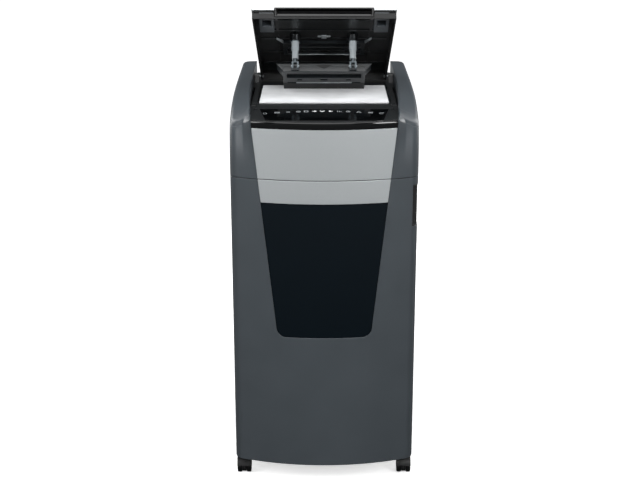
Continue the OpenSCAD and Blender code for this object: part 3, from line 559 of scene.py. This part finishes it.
def make_finishes(looks):
    """All finishes, keyed by the record's slots where they have one."""
    # ABS moulded in a spark-eroded tool: dark charcoal, soft sheen that spreads the light.
    finishes["charcoal_abs"] = grained_plastic(
        "ABS moulded, spark-eroded charcoal", looks.cover_hex, 0.42, 0.9, 0.06, coat=0.06
    )
    # Metallic lacquer on ABS: satin silver that brightens towards the lamp.
    finishes["silver_paint"] = sprayed_silver("Metallic lacquer, sprayed silver", looks.silver_hex)
    # Acrylic-faced ABS from a polished tool: deep black with hard reflections.
    finishes["gloss_black"] = polished_plastic(
        "Acrylic-faced ABS, polished black", looks.gloss_hex, 0.05, 0.2
    )
    # Polycarbonate, smoked and moulded smooth: near black, a little blue in the reflections.
    finishes["tinted_window"] = polished_plastic(
        "Polycarbonate, moulded smoke tint", looks.window_hex, 0.1, 0.05
    )
    # ABS with a fine matt texture: near black, hides finger marks.
    finishes["dark_grey_abs"] = grained_plastic(
        "ABS moulded, fine matt dark grey", looks.inner_hex, 0.45, 0.8, 0.05
    )
    # Glass-filled nylon: dull black with a slightly fibrous skin.
    finishes["black_nylon"] = grained_plastic("Nylon moulded, glass-filled black", "#1c1d1e", 0.5, 1.4, 0.1)
    # Polypropylene: waxy mid grey, softer sheen.
    finishes["bin_grey"] = grained_plastic(
        "Polypropylene moulded, grey", "#4a4f52", 0.42, 1.6, 0.05, ior=1.49
    )
    # Zinc-plated sheet steel: pale crystals.
    finishes["zinc_steel"] = zinc_plate("Steel sheet, zinc-plated", "#8c9093")
    # Hardened steel, ground along the shaft: fine lines round it.
    finishes["ground_steel"] = worked_metal(
        "Steel hardened, ground", "#9a9ea0", 0.28, (1, 0.08, 0.08), 1.2, 0.02
    )
    # Drawn tube, chrome-plated: mirror with very faint lines along it.
    finishes["chrome_tube"] = worked_metal(
        "Steel tube, chrome-plated", "#aab0b4", 0.12, (1, 1, 0.05), 1.5, 0.01
    )
    # Acetal, machined gears: warm white and slightly translucent to the eye.
    finishes["gear_acetal"] = grained_plastic("Acetal, cut gear white", "#d8d6cc", 0.35, 2.0, 0.03, ior=1.48)
    # Soft rubber, ground round: dull black.
    finishes["roller_rubber"] = grained_plastic(
        "Rubber, ground roller black", "#1c1d1e", 0.75, 1.2, 0.15, ior=1.52
    )
    # Nylon wheel, moulded smooth: semi-gloss black.
    finishes["wheel_nylon"] = grained_plastic("Nylon moulded, smooth wheel black", "#131415", 0.3, 2.5, 0.04)
    # Circuit board with a green solder mask.
    finishes["board_green"] = solder_mask("Circuit board, green solder mask", "#1f5a3c")
    # Enamelled motor can: black baked enamel over rolled steel.
    finishes["motor_steel"] = grained_plastic(
        "Steel can, baked black enamel", "#2a2d2f", 0.32, 3.0, 0.08, coat=0.3
    )
    # Screen-printed ink on the glass: flat white, slightly raised.
    finishes["ink"] = grained_plastic("Ink, screen-printed white", "#f2f5f6", 0.5, 0.5, 0.01, drift=0.02)
    # ABS of the pressure plate and its seat: dark grey with a stronger sheen than the covers.
    finishes["plate_abs"] = grained_plastic("ABS moulded, satin graphite", "#191e21", 0.3, 1.0, 0.04)
    # Light grey moulded trim on the lid's inside; on the thin bars of the plate and the lining the pale grey
    # is a painted highlight.
    finishes["pale_trim"] = grained_plastic("ABS moulded, pale grey clip and painted highlight", "#8f9598", 0.35, 1.0, 0.04)
    # Polyamide of the struts' telescoping sleeves: pale smoky grey, smooth, catches soft lights.
    finishes["sleeve_nylon"] = grained_plastic(
        "Polyamide moulded, smoky grey sleeve", "#a0a7ab", 0.2, 2.0, 0.02, coat=0.6
    )
    # Steel rods of the struts, satin ground and blackened: dull grey lights on a dark ground.
    finishes["rod_steel"] = worked_metal(
        "Steel rod, satin blackened", "#5c6367", 0.36, (1, 1, 0.08), 1.2, 0.02
    )
    # Near black: matt moulded ABS on the lid's shell, and painted shade in the plate's opening and in the
    # recesses, grooves and holes of the plate, the lining and the seat.
    finishes["black_and_painted_shade"] = grained_plastic("Matt black ABS, and painted shade", "#0b0d0e", 0.7, 1.0, 0.05)
    # Office paper, cut and stacked.
    finishes["paper"] = paper_stack("Paper, cut and stacked", "#e4e6e8")
    # Studio floor, glowing white: its glow is turned down near the object, a painted shadow, so only a close
    # shadow shows.
    finishes["floor"] = grained_plastic(
        "Studio floor, glowing white with painted shadow", looks.floor_hex, 0.9, 4.0, 0.05, drift=0.01
    )
    glow = next(n for n in finishes["floor"].node_tree.nodes if n.type == "BSDF_PRINCIPLED")
    glow.inputs["Emission Color"].default_value = (1, 1, 1, 1)
    tree = finishes["floor"].node_tree
    # Painted shadow: the glow is weaker near the object.
    spot = add_node(tree, "ShaderNodeTexCoord").outputs["Object"]
    away = add_node(tree, "ShaderNodeVectorMath", {0: spot}, operation="LENGTH")
    fade = add_node(
        tree,
        "ShaderNodeMapRange",
        {"Value": away.outputs["Value"], "From Min": 0.25, "From Max": 1.1, "To Min": 0.62, "To Max": 1.0},
        interpolation_type="SMOOTHSTEP",
    )
    tree.links.new(fade.outputs["Result"], glow.inputs["Emission Strength"])
    # Ink of the outer signs: the same white print made less bright, a painted shade.
    finishes["shaded_ink"] = grained_plastic("Ink, screen-printed white, painted shade", "#a3a9ac", 0.5, 0.5, 0.01, drift=0.02)


# ---- Settings ----


class ShredderLooks(bpy.types.PropertyGroup):
    cover_hex: bpy.props.StringProperty(
        name="Cover colour", description="Hex colour of the moulded covers", default="#41474c"
    )
    silver_hex: bpy.props.StringProperty(
        name="Silver colour", description="Hex colour of the lacquered panels", default="#babfc1"
    )
    gloss_hex: bpy.props.StringProperty(
        name="Gloss colour", description="Hex colour of the polished black pieces", default="#040506"
    )
    window_hex: bpy.props.StringProperty(
        name="Window colour", description="Hex colour of the smoked window", default="#060f15"
    )
    inner_hex: bpy.props.StringProperty(
        name="Inner colour", description="Hex colour of the deck, tray and lid lining", default="#101416"
    )
    floor_hex: bpy.props.StringProperty(
        name="Floor colour", description="Hex colour of the floor", default="#f4f5f5"
    )
    arm_radius: bpy.props.FloatProperty(
        name="Arm edge radius",
        description="Rounding of the arms' outer top edge",
        default=0.009,
        unit="LENGTH",
    )
    lip_radius: bpy.props.FloatProperty(
        name="Lip radius", description="Rounding of the gloss lip's upper edge", default=0.0055, unit="LENGTH"
    )
    cover_edge: bpy.props.FloatProperty(
        name="Cover edge radius",
        description="Rounding of the edges along the seams",
        default=0.0008,
        unit="LENGTH",
    )
    stack_height: bpy.props.FloatProperty(
        name="Paper stack height",
        description="Height of the sheets in the tray",
        default=0.078,
        unit="LENGTH",
    )
    lamp_power: bpy.props.FloatProperty(
        name="Lamp power",
        description="Scales all studio lamps",
        default=1.0,
        min=0.1,
        max=5.0,
        subtype="FACTOR",
    )


# ---- Operators ----


# Nodes whose finish differs from their slot's.
OWN_FINISH = {
    "strut_upper_sleeves": "sleeve_nylon",
    "strut_lower_sleeves": "sleeve_nylon",
    "plate_rods": "rod_steel",
    "lid_shell": "black_and_painted_shade",
}
# Rounding of the nodes' edges in millimetres, where it differs from the covers'.
NODE_EDGES = {
    "waste_bin": 1.6, "paper_tray": 1.0, "bin_handle": 2.0, "lid_top_plate": 1.4, "lid_grip": 1.2,
}
NODE_EDGES.update(
    dict.fromkeys(
        (
            "plate_springs", "stripper_combs", "control_board", "rear_screws", "clevis_pins",
            "power_switch",
        ),
        0.25,
    )
)
NODE_EDGES.update(
    dict.fromkeys(
        (
            "cutter_front", "cutter_rear", "cutter_gear_front", "cutter_gear_rear", "idler_gear",
            "feed_roller_front", "feed_roller_rear", "motor_shaft", "lid_hinge_pins", "drive_motor",
            "strut_sockets", "strut_upper_sleeves", "strut_lower_sleeves",
        ),
        0.4,
    )
)


class SHREDDER_OT_finishes(bpy.types.Operator):
    """Make every finish and put it on the frame's own nodes"""

    bl_idname = "shredder.finishes"
    bl_label = "Finishes"

    def execute(self, context):
        looks = context.scene.shredder_looks
        make_finishes(looks)
        slots = {row["node"]: row["material_slot"] for row in frame["record"]["subparts"]}
        for name, obj in frame["nodes"].items():
            obj.data.materials.clear()
            obj.data.materials.append(finishes[OWN_FINISH.get(name, slots[name])])
            add_bevel(obj, NODE_EDGES.get(name, looks.cover_edge / MM))
        return {"FINISHED"}


def arm_section(outer, inner, radius):
    """Cross section of an arm's skin, from the foot of the outer wall over the top to the deck."""
    top_x, top_y = outer(ARM_TOP_Z - 30)
    ix, iy = inner
    outer_top = arm_top(top_x, top_y)
    top_x, top_y = outer(outer_top)
    inner_top = arm_top(ix, iy)
    width = math.hypot(ix - top_x, iy - top_y)
    # The outer edge's rounding changes smoothly from the front corner to the back.
    ease = max(0.0, min(1.0, (top_y - EDGE_FROM_Y) / (EDGE_TO_Y - EDGE_FROM_Y)))
    ease = ease * ease * (3 - 2 * ease)
    r = min(FRONT_EDGE_R + (radius - FRONT_EDGE_R) * ease, 0.42 * width)
    reach = min(r * (1 + 0.15 * ease), 0.6 * width)
    r_in = min(INNER_EDGE_R, 0.3 * width)
    line = []
    for k in range(7):
        z = HEAD_Z + (outer_top - r - HEAD_Z) * k / 6
        x, y = outer(z)
        line.append((x, y, z))

    def across(s):
        f = s / width if width > 1e-6 else 0
        return (top_x + (ix - top_x) * f, top_y + (iy - top_y) * f, outer_top + (inner_top - outer_top) * f)

    steps = 8
    for k in range(1, steps + 1):
        a = math.radians(90 * k / steps)
        x, y, z = across(reach * (1 - math.cos(a)))
        line.append((x, y, z - r * (1 - math.sin(a))))
    for f in (0.3, 0.6):
        line.append(across(reach + (width - reach - r_in) * f))
    for k in range(steps + 1):
        a = math.radians(90 * k / steps)
        x, y, z = across(width - r_in * (1 - math.sin(a)))
        line.append((x, y, z - r_in * (1 - math.cos(a))))
    for f in (0.5, 1.0):
        z = inner_top - r_in
        line.append((ix, iy, z + (SUB_DECK_Z - 12 - z) * f))
    return line


def arm_stations():
    """Pairs of an outer wall point, as a function of height, and the inner foot, from front to back."""
    rows = []
    front_y = bow_y(FOOT_FRONT)
    for i in range(12):
        u = i / 12

        def outer(z, u=u):
            edge = panel_half(z) + 0.6
            x = edge + (CORNER_X - edge) * u
            return x, bow_y(x) + arm_lean(z) * u

        y = front_y + 10 * u
        rows.append((outer, (min(foot_x(y), 161.5 + 2 * u), y + FRONT_LEAN * u)))
    corner = arc(CORNER_X, CORNER_Y, CORNER_R, -90 + BOW_A, 0, 12)
    for i, (x, y) in enumerate(corner):
        inner_y = front_y + 10 + FRONT_LEAN + (CORNER_Y - front_y - 10) * i / 12
        rows.append(((lambda z, x=x, y=y: (x, y + arm_lean(z))), (foot_x(inner_y), inner_y)))
    for s in (4, 9, 15, 22, 30, 40, 52, 66, 82, 100, 125, 155, 190, 240, 300, 370, 440, 500):
        y = CORNER_Y + s
        share = max(0.0, 1 - s / 125)

        def side_wall(z, y=y, share=share):
            return HALF_W, y + arm_lean(z) * share

        rows.append((side_wall, (foot_x(y), y + FRONT_LEAN * share)))
    rear = arc(HALF_W - REAR_R, BACK_Y - REAR_R, REAR_R, 0, 90, 8)
    for i, (x, y) in enumerate(rear):
        inner_y = BACK_Y - REAR_R + (REAR_R - 6) * i / 8
        rows.append(((lambda z, x=x, y=y: (x, y)), (FOOT_BACK, inner_y)))
    for x in (188.0, 180.0, 174.5):
        rows.append(((lambda z, x=x: (x, BACK_Y)), (FOOT_BACK, BACK_Y - 4 + (188 - x) * 0.2)))
    return rows


class SHREDDER_OT_arms(bpy.types.Operator):
    """Build the rounded skins of the head's two arms"""

    bl_idname = "shredder.arms"
    bl_label = "Arms"

    def execute(self, context):
        looks = context.scene.shredder_looks
        sections = [arm_section(outer, inner, looks.arm_radius / MM) for outer, inner in arm_stations()]
        faces = grid_faces(len(sections), len(sections[0]))
        for side, tag in ((1, "right"), (-1, "left")):
            points = [(side * x, y, z) for row in sections for x, y, z in row]
            obj = make_object(f"arm_cover_{tag}", points, faces)
            if obj.data.polygons[0].normal.y >= 0:
                obj.data.flip_normals()
            shell = obj.modifiers.new("Wall", "SOLIDIFY")
            shell.thickness = 2.4 * MM
            shell.offset = -1.0
            bevel = obj.modifiers.new("Edges", "BEVEL")
            bevel.width = looks.cover_edge
            bevel.segments = 2
            bevel.angle_limit = math.radians(50)
            smooth = obj.modifiers.new("Smooth", "WEIGHTED_NORMAL")
            smooth.keep_sharp = True
            dress(obj, finishes["charcoal_abs"], "cabinet")
            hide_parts(f"head_{tag}_cover")
        return {"FINISHED"}


class SHREDDER_OT_lip(bpy.types.Operator):
    """Build the gloss lip over the front panel"""

    bl_idname = "shredder.lip"
    bl_label = "Lip"

    def execute(self, context):
        r = context.scene.shredder_looks.lip_radius / MM
        depth = 4.0
        section = [(0.0, LIP_Z + 0.2), (0.0, LIP_Z + 5)]
        for k in range(7):
            a = math.radians(90 * k / 6)
            inset = min(depth - 0.3, 0.62 * r * (1 - math.cos(a)))
            section.append((inset, LIP_TOP_Z - r + r * math.sin(a)))
        section += [(depth, LIP_TOP_Z), (depth, LIP_Z + 0.2)]
        rings = []
        count = 40
        for i in range(count + 1):
            u = -1 + 2 * i / count
            ring = []
            for inset, z in section:
                x = u * (panel_half(z) - 0.2)
                ring.append((x, bow_y(x, inset), z))
            rings.append(ring)
        obj = loft("gloss_lip", rings)
        dress(obj, finishes["gloss_black"], "cabinet")
        add_bevel(obj, 0.3, 2, 40)
        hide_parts("front_lip")
        return {"FINISHED"}


def strokes_to_faces(strokes, half):
    """Quads for short strokes in a sign: each stroke is a list of points, half its half width."""
    points, faces = [], []
    for stroke in strokes:
        for (ax, ay), (bx, by) in zip(stroke, stroke[1:]):
            length = math.hypot(bx - ax, by - ay) or 1
            nx, ny = -(by - ay) / length * half, (bx - ax) / length * half
            base = len(points)
            points += [(ax + nx, ay + ny), (ax - nx, ay - ny), (bx - nx, by - ny), (bx + nx, by + ny)]
            faces.append((base, base + 1, base + 2, base + 3))
    return points, faces


# Touch signs as strokes in millimetres, from left to right, and their places.
SIGNS = [
    [arc(0, 0, 4.2, 120, 420, 14), [(0, 1), (0, 6)]],
    [[(-5, 3.5), (5, 3.5), (5, -3.5), (-5, -3.5), (-5, 3.5)], [(-5, 0), (5, 0)]],
    [[(-4, -4), (4, 4)], [(-4, 4), (4, -4)]],
    [arc(0, 0, 4.5, 0, 360, 14), [(-2, 0), (2, 0)]],
    [[(-4, 4), (-4, -4), (4, -4), (4, 4), (-4, 4)]],
    [[(-5, 0), (3, 0)], [(0, 3.5), (4, 0), (0, -3.5)]],
    [[(-5, 3), (0, -4), (5, 3)], [(-5, -0.5), (5, -0.5)]],
    [[(5, 0), (-3, 0)], [(0, 3.5), (-4, 0), (0, -3.5)]],
    [[(-4, -4), (-4, 4)], [(0, -4), (0, 2)], [(4, -4), (4, 0)]],
    [arc(0, 0, 4.2, 0, 360, 14), [(0, 0), (0, 3)], [(0, 0), (2.4, 0)]],
    [[(-5, -3.5), (5, -3.5), (0, 4.5), (-5, -3.5)]],
    [[(-5, 2.5), (5, 2.5)], [(-5, -2.5), (5, -2.5)], [(-5, 0), (5, 0)]],
    [arc(0, 0, 4.4, 30, 330, 14), [(4.4, 1), (4.4, 4.5)]],
]
SIGN_X = (-136.8, -109.0, -83.6, -60.0, -42.0, -22.8, -4.9, 14.4, 34.8, 55.2, 79.9, 106.9, 131.7)


class SHREDDER_OT_signs(bpy.types.Operator):
    """Print the touch signs on the control glass"""

    bl_idname = "shredder.signs"
    bl_label = "Touch signs"

    def execute(self, context):
        for number, (cx, strokes) in enumerate(zip(SIGN_X, SIGNS)):
            # The row bows with the front, and the signs in the middle have the heavier strokes.
            cx *= 0.96
            cy = -209.0 - 19.0 * (cx / 134.0) ** 2
            near = 1 - min(1, abs(cx) / 140)
            flat, faces = strokes_to_faces(strokes, 0.5 + 0.5 * near * near)
            points = []
            for lift in (0.3, 0.42):
                for x, y in flat:
                    py = cy + y * 1.25
                    points.append((cx + x, py, LIP_TOP_Z + DECK_SLOPE * (py - FRONT_Y) + lift))
            n = len(flat)
            body = []
            for a, b, c, d in faces:
                body.append((a + n, b + n, c + n, d + n))
                body.append((d, c, b, a))
                for p, q in ((a, b), (b, c), (c, d), (d, a)):
                    body.append((p, q, q + n, p + n))
            obj = make_object(f"touch_sign_{number + 1:02d}", points, body, smooth=False)
            # The outer signs take the darker copy of the ink: painted shade.
            dress(obj, finishes["ink" if near > 0.8 else "shaded_ink"], "cabinet")
        return {"FINISHED"}


class SHREDDER_OT_plate(bpy.types.Operator):
    """Build the pressure plate's moulding with its ledges, grooves and screws"""

    bl_idname = "shredder.plate"
    bl_label = "Pressure plate"

    def execute(self, context):
        # Distances from the lid's hinge, and heights in the closed lid.
        front, back, low, top = PLATE_FRONT, 99.0, -80.0, -60.0
        half, foot = 111.0, 97.0
        xs = [-foot, -88, -64, -52, -9, 9, 52, 64, 88, foot]
        ys = [back, 133, 137, 141, 150, 156, 163, 186, front]
        fields = (low, low + 3, low + 1.5, low, low, low, low + 9, low)
        screws = dict.fromkeys(((2, 4), (6, 4)), low + 2.5)
        holes = {(4, 4): low + 8, **screws}

        def level(i, j):
            return low if i in (0, 8) else holes.get((i, j), fields[j])

        # The far end, the groove, the hole and the screw recesses take the near-black second material:
        # painted shade.
        dark = {(i, j) for i in range(9) for j in (0, 1)} | {(i, 6) for i in range(1, 8)} | set(holes)
        under = relief("plate_underside", xs, ys, level, low + 12, lid_point, dark)
        dress(under, finishes["plate_abs"], "plate", finishes["black_and_painted_shade"], edge=0.7)
        # Wings: the front of the plate flares out above its foot.
        rings = []
        narrow = foot + 1
        for along, reach in ((back, narrow), (front - 36, narrow), (front - 30, half), (front, half)):
            right = [(14, top - 0.01), (24, top), (reach, top), (reach, top - 2), (foot, low + 3)]
            left = [(-x, z) for x, z in reversed(right)]
            ring = left + right + [(foot, low + 12.05), (-foot, low + 12.05)]
            rings.append([(x, along, z) for x, z in ring])
        wings = lid_body("plate_wings", rings)
        dress(wings, finishes["plate_abs"], "plate", edge=0.8)
        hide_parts("pressure_plate")
        # A thin pale bar across the plate's underside stands for a highlight line: painted highlight.
        outline = ((134, low), (136.4, low), (136.4, low + 4), (134, low + 4))
        bar = lid_body("plate_bar", [[(x, along, z) for along, z in outline] for x in (-66, 66)])
        dress(bar, finishes["pale_trim"], "plate", edge=0.3)
        # A three-cornered near-black piece on the front wall stands for an opening: painted shade.
        corners = ((-20, top - 3), (20, top - 3), (0, low + 6))
        shade_patch = lid_body(
            "plate_painted_shade", [[(x, along, z) for x, z in corners] for along in (front - 0.5, front + 0.4)]
        )
        dress(shade_patch, finishes["black_and_painted_shade"], "plate", edge=0.3)
        # Lugs that the struts' clevises hold, round about the pins.
        nose = [(STRUT_ALONG - y, z) for z, y in arc(-72, 0, 6, 180, 360, 9)]
        outline = [(front - 1, -66), (front - 1, -78)] + nose
        for side, tag in ((-1, "left"), (1, "right")):
            middle = side * STRUT_X
            lug = lid_body(
                f"plate_lug_{tag}", [[(x, *point) for point in outline] for x in (middle - 4, middle + 4)]
            )
            dress(lug, finishes["plate_abs"], "plate", edge=0.5)
        return {"FINISHED"}


class SHREDDER_OT_springs(bpy.types.Operator):
    """Wind the two struts' springs at one length; the real ones shorten as the plate goes up"""

    bl_idname = "shredder.springs"
    bl_label = "Springs"

    def execute(self, context):
        turns, wire, sides, steps = 9, 0.6, 8, 24
        back = LID_TURN.inverted()
        inside = [back @ (v.co / MM) for v in frame["nodes"]["plate_springs"].data.vertices]
        low, high = min(p.z for p in inside) + wire, max(p.z for p in inside) - wire
        along = -(min(p.y for p in inside) + max(p.y for p in inside)) / 2
        reach = max(p.x for p in inside) - STRUT_X - wire
        length = high - low
        for side, tag in ((-1, "left"), (1, "right")):
            middle = side * STRUT_X
            rings = []
            for i in range(turns * steps + 1):
                a = 2 * math.pi * i / steps
                z = low + length * i / (turns * steps)
                ring = []
                for j in range(sides):
                    b = 2 * math.pi * j / sides
                    r = reach + wire * math.cos(b)
                    ring.append((middle + r * math.cos(a), along + r * math.sin(a), z + wire * math.sin(b)))
                rings.append(ring)
            spring = lid_body(f"strut_spring_{tag}", rings)
            dress(spring, finishes["ground_steel"], "lid")
            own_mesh(spring)
            if side > 0:
                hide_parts("plate_springs")
        return {"FINISHED"}


class SHREDDER_OT_lid(bpy.types.Operator):
    """Line the lid's inside with ribs, the plate's seat, the pale clips and two pale bars of painted
    highlight
    """

    bl_idname = "shredder.lid"
    bl_label = "Lid lining"

    def execute(self, context):
        ceiling, rib, skin = 10.95, 3.0, 0.8
        xs = [-148, -130, -112, -106, -92, -46, -20, 20, 46, 92, 106, 112, 130, 148]
        ys = [18, 60, 66, 120, 126, 190, 196, 232, 238, 300]

        def level(i, j):
            if j == 6 and i in (4, 8):
                return None  # open over the struts' sockets
            if j in (1, 3, 5, 7) or i in (2, 10):
                return ceiling - rib
            return ceiling - (1.8 if (i, j) == (6, 4) else skin)

        # The fields between the ribs take the near-black second material: painted shade.
        dark = {(i, j) for i in range(13) for j in (2, 4, 6)}
        lining = relief("lid_lining", xs, ys, level, ceiling, lid_point, dark)
        dress(lining, finishes["dark_grey_abs"], "lid", finishes["black_and_painted_shade"], edge=0.6)
        # Seat that the pressure plate folds up into: a shallow tray with grooves and three holes.
        xs = [-97, -88, -64, -50, -9, 9, 50, 64, 88, 97]
        ys = [116, 122, 131, 137, 150, 156, 170, 180]
        fields = (3.0, 6.5, 4.5, 8.0, 3.0, 5.0, 3.0)
        # The seat's grooves and three holes take the near-black second material: painted shade.
        dark = {(i, j) for i in range(1, 8) for j in (1, 3)} | {(2, 2), (4, 2), (6, 2)}

        def seat_level(i, j):
            return 3.0 if i in (0, 8) else fields[j]

        seat = relief("lid_plate_seat", xs, ys, seat_level, ceiling - 0.5, lid_point, dark)
        dress(seat, finishes["plate_abs"], "lid", finishes["black_and_painted_shade"], edge=0.6)
        # A splayed rib at each end of the seat.
        foot = ((96.5, 181), (97.5, 179), (112.5, 199), (111.5, 201))
        for side, tag in ((-1, "left"), (1, "right")):
            rings = [[(side * x, along, z) for x, along in foot] for z in (2.6, ceiling - 0.5)]
            splay = lid_body(f"lid_seat_rib_{tag}", rings)
            dress(splay, finishes["pale_trim"], "lid", edge=0.3)
        # Pale clips, the last two being thin bars that stand for highlight lines, a painted highlight: half
        # width, the two distances from the hinge, and the height of the recess.
        clips = ((6, 196, 212, 5.0), (15, 203, 207, 6.0), (32, 171.5, 174.5, 3.2), (66, 118, 121, 1.6))
        for number, (half, near, far, z0) in enumerate(clips):
            rim = (far - near) / 4
            clip = relief(
                f"lid_clip_and_highlight_bar_{number + 1}",
                [-half, 2 - half, half - 2, half],
                [near, near + rim, far - rim, far],
                lambda i, j, z0=z0: z0 + (0 if (i, j) == (1, 1) else 0.8),
                z0 + 3.5,
                lid_point,
            )
            dress(clip, finishes["pale_trim"], "lid", edge=0.4)
        return {"FINISHED"}


class SHREDDER_OT_casters(bpy.types.Operator):
    """Turn the caster wheels with rounded treads and dished hubs"""

    bl_idname = "shredder.casters"
    bl_label = "Caster wheels"

    def execute(self, context):
        near, far = 5.5, 16.5  # the wheel's two faces, from the middle of the pair
        for tag in ("fl", "fr", "rl", "rr"):
            low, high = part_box(f"caster_wheels_{tag}")
            middle = [(a + b) / 2 / MM for a, b in zip(low, high)]
            tread = [(near, 3.05), (near, 20.0)]
            for angle in (30, 60, 90):
                a = math.radians(angle)
                tread.append((near + 2 - 2 * math.cos(a), 20 + 2 * math.sin(a)))
            for angle in (0, 30, 60, 90):
                a = math.radians(angle)
                tread.append((far - 2.5 + 2.5 * math.sin(a), 19.5 + 2.5 * math.cos(a)))
            # Dished hub inside the rim.
            tread += [(far, 16.5), (far - 1.6, 15.5), (far - 1.6, 7.5), (far - 0.4, 6.5), (far - 0.4, 0.01)]
            for side, place in ((-1, "inner"), (1, "outer")):
                profile = [(side * x, r) for x, r in tread]
                wheel = lathe(f"wheel_{tag}_{place}", profile, middle, 48)
                dress(wheel, finishes["wheel_nylon"], f"wheels_{tag}")
                wheel.modifiers.new("Smooth", "WEIGHTED_NORMAL")
                if side > 0:
                    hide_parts(f"caster_wheels_{tag}")
        return {"FINISHED"}


# Brightness of the studio around the object, from straight down (0) to straight up (1).
SKY = ((0.0, 0.02), (0.27, 0.03), (0.41, 0.3), (0.46, 0.8), (0.52, 0.12), (0.62, 0.05), (1.0, 0.12))


def area_lamp(name, place, aim, size, power, colour=(1, 1, 1)):
    lamp = bpy.data.lights.new(name, "AREA")
    lamp.shape = "RECTANGLE"
    lamp.size, lamp.size_y = size
    lamp.energy = power
    lamp.color = colour
    obj = bpy.data.objects.new(name, lamp)
    obj.location = place
    obj.rotation_euler = (Vector(aim) - Vector(place)).to_track_quat("-Z", "Y").to_euler()
    bpy.context.scene.collection.objects.link(obj)
    return obj


class SHREDDER_OT_stage(bpy.types.Operator):
    """Set up the floor, the paper in the tray, the lamps, the world and the camera"""

    bl_idname = "shredder.stage"
    bl_label = "Stage"

    def execute(self, context):
        scene = context.scene
        looks = scene.shredder_looks
        reach, wall_r = 14000.0, 13000.0
        floor = make_object(
            "stage_floor",
            [(-reach, -reach, 0), (reach, -reach, 0), (reach, reach, 0), (-reach, reach, 0)],
            [(0, 1, 2, 3)],
            smooth=False,
        )
        # A round wall with the floor's glowing finish far behind everything closes the horizon from every
        # side.
        around = [(math.cos(math.radians(a)), math.sin(math.radians(a))) for a in range(0, 360, 6)]
        wall = make_object(
            "stage_wall",
            [(wall_r * x, wall_r * y, z) for z in (-10, 5000, 12000) for x, y in around],
            grid_faces(3, len(around), around=True),
        )
        wall.visible_shadow = False
        for obj in (floor, wall):
            dress(obj, finishes["floor"])
            # Glossy and lit surfaces see the studio below the horizon, which is darker than the floor.
            obj.visible_glossy = False
            obj.visible_diffuse = False
        # A stack of crosswise sheets with slightly uneven layers.
        low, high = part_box("paper_tray")
        floor_z = low[2] / MM + 5.4
        middle = ((low[1] + high[1]) / 2 + 0.5 * MM) / MM
        half_sheet_x, half_sheet_y, layers = 148.2, 104.6, 26
        rings = []
        for k in range(layers + 1):
            z = floor_z + looks.stack_height / MM * k / layers
            slip_x = 0.45 * math.sin(k * 1.7) + 0.3 * math.sin(k * 0.6 + 1)
            slip_y = 0.5 * math.sin(k * 1.1)
            corners = ((-1, -1), (1, -1), (1, 1), (-1, 1))
            rings.append(
                [(a * half_sheet_x + slip_x, middle + b * half_sheet_y + slip_y, z) for a, b in corners]
            )
        stack = loft("stage_paper_stack", rings)
        for face in stack.data.polygons:
            face.use_smooth = False
        dress(stack, finishes["paper"])

        world = bpy.data.worlds.new("Studio")
        scene.world = world
        world.use_nodes = True
        tree = world.node_tree
        height = add_node(
            tree,
            "ShaderNodeSeparateXYZ",
            {"Vector": add_node(tree, "ShaderNodeTexCoord").outputs["Generated"]},
        )
        rise = add_node(tree, "ShaderNodeMapRange", {"Value": height.outputs["Z"], "From Min": -1.0})
        ramp = add_node(tree, "ShaderNodeValToRGB", {"Fac": rise.outputs["Result"]})
        for position, value in SKY[1:-1]:
            ramp.color_ramp.elements.new(position)
        for element, (position, value) in zip(ramp.color_ramp.elements, SKY):
            element.position = position
            element.color = (value, value, value, 1)
        backdrop = tree.nodes["Background"]
        tree.links.new(ramp.outputs["Color"], backdrop.inputs["Color"])
        backdrop.inputs["Strength"].default_value = 1.0
        power = looks.lamp_power
        area_lamp("Overhead softbox", (0, -0.72, 3.3), (0, 0, 0.8), (2.4, 1.8), 55 * power)
        area_lamp("Left softbox", (-2.4, -2.7, 2.3), (0, 0, 0.6), (1.1, 1.8), 66 * power)
        area_lamp("Right softbox", (1.9, -3.1, 2.3), (0, 0, 0.6), (0.7, 1.5), 78 * power)
        area_lamp("Front softbox", (-0.3, -3.2, 3.2), (0, 0, 0.7), (2.6, 1.4), 34 * power)
        area_lamp("Back left strip", (-1.9, 1.2, 1.5), (0, 0, 0.6), (0.4, 1.8), 24 * power)
        area_lamp("Back right strip", (1.9, 1.2, 1.5), (0, 0, 0.6), (0.4, 1.8), 24 * power)

        camera = bpy.data.cameras.new("Camera")
        camera.lens = 70.0
        camera.sensor_width = 36.0
        camera.clip_end = 60.0
        eye = bpy.data.objects.new("Camera", camera)
        eye.location = (-0.0095, -2.935, 1.450)
        eye.rotation_euler = (math.radians(90 - 17.618), 0, 0)
        scene.collection.objects.link(eye)
        scene.camera = eye
        scene.view_settings.view_transform = "Standard"
        return {"FINISHED"}


class SHREDDER_PT_looks(bpy.types.Panel):
    bl_label = "Paper shredder"
    bl_idname = "SHREDDER_PT_looks"
    bl_space_type = "VIEW_3D"
    bl_region_type = "UI"
    bl_category = "Shredder"

    def draw(self, context):
        looks = context.scene.shredder_looks
        for key in looks.__annotations__:
            self.layout.prop(looks, key)
        for name in STEPS:
            self.layout.operator(f"shredder.{name}")


STEPS = ("finishes", "arms", "lip", "signs", "plate", "springs", "lid", "casters", "stage")
CLASSES = (
    ShredderLooks,
    SHREDDER_OT_finishes,
    SHREDDER_OT_arms,
    SHREDDER_OT_lip,
    SHREDDER_OT_signs,
    SHREDDER_OT_plate,
    SHREDDER_OT_springs,
    SHREDDER_OT_lid,
    SHREDDER_OT_casters,
    SHREDDER_OT_stage,
    SHREDDER_PT_looks,
)


def register():
    for cls in CLASSES:
        bpy.utils.register_class(cls)
    bpy.types.Scene.shredder_looks = bpy.props.PointerProperty(type=ShredderLooks)


def unregister():
    del bpy.types.Scene.shredder_looks
    for cls in reversed(CLASSES):
        bpy.utils.unregister_class(cls)


def main():
    register()
    for name in STEPS:
        getattr(bpy.ops.shredder, name)()
    bpy.context.view_layer.update()


if __name__ == "__main__":
    main()
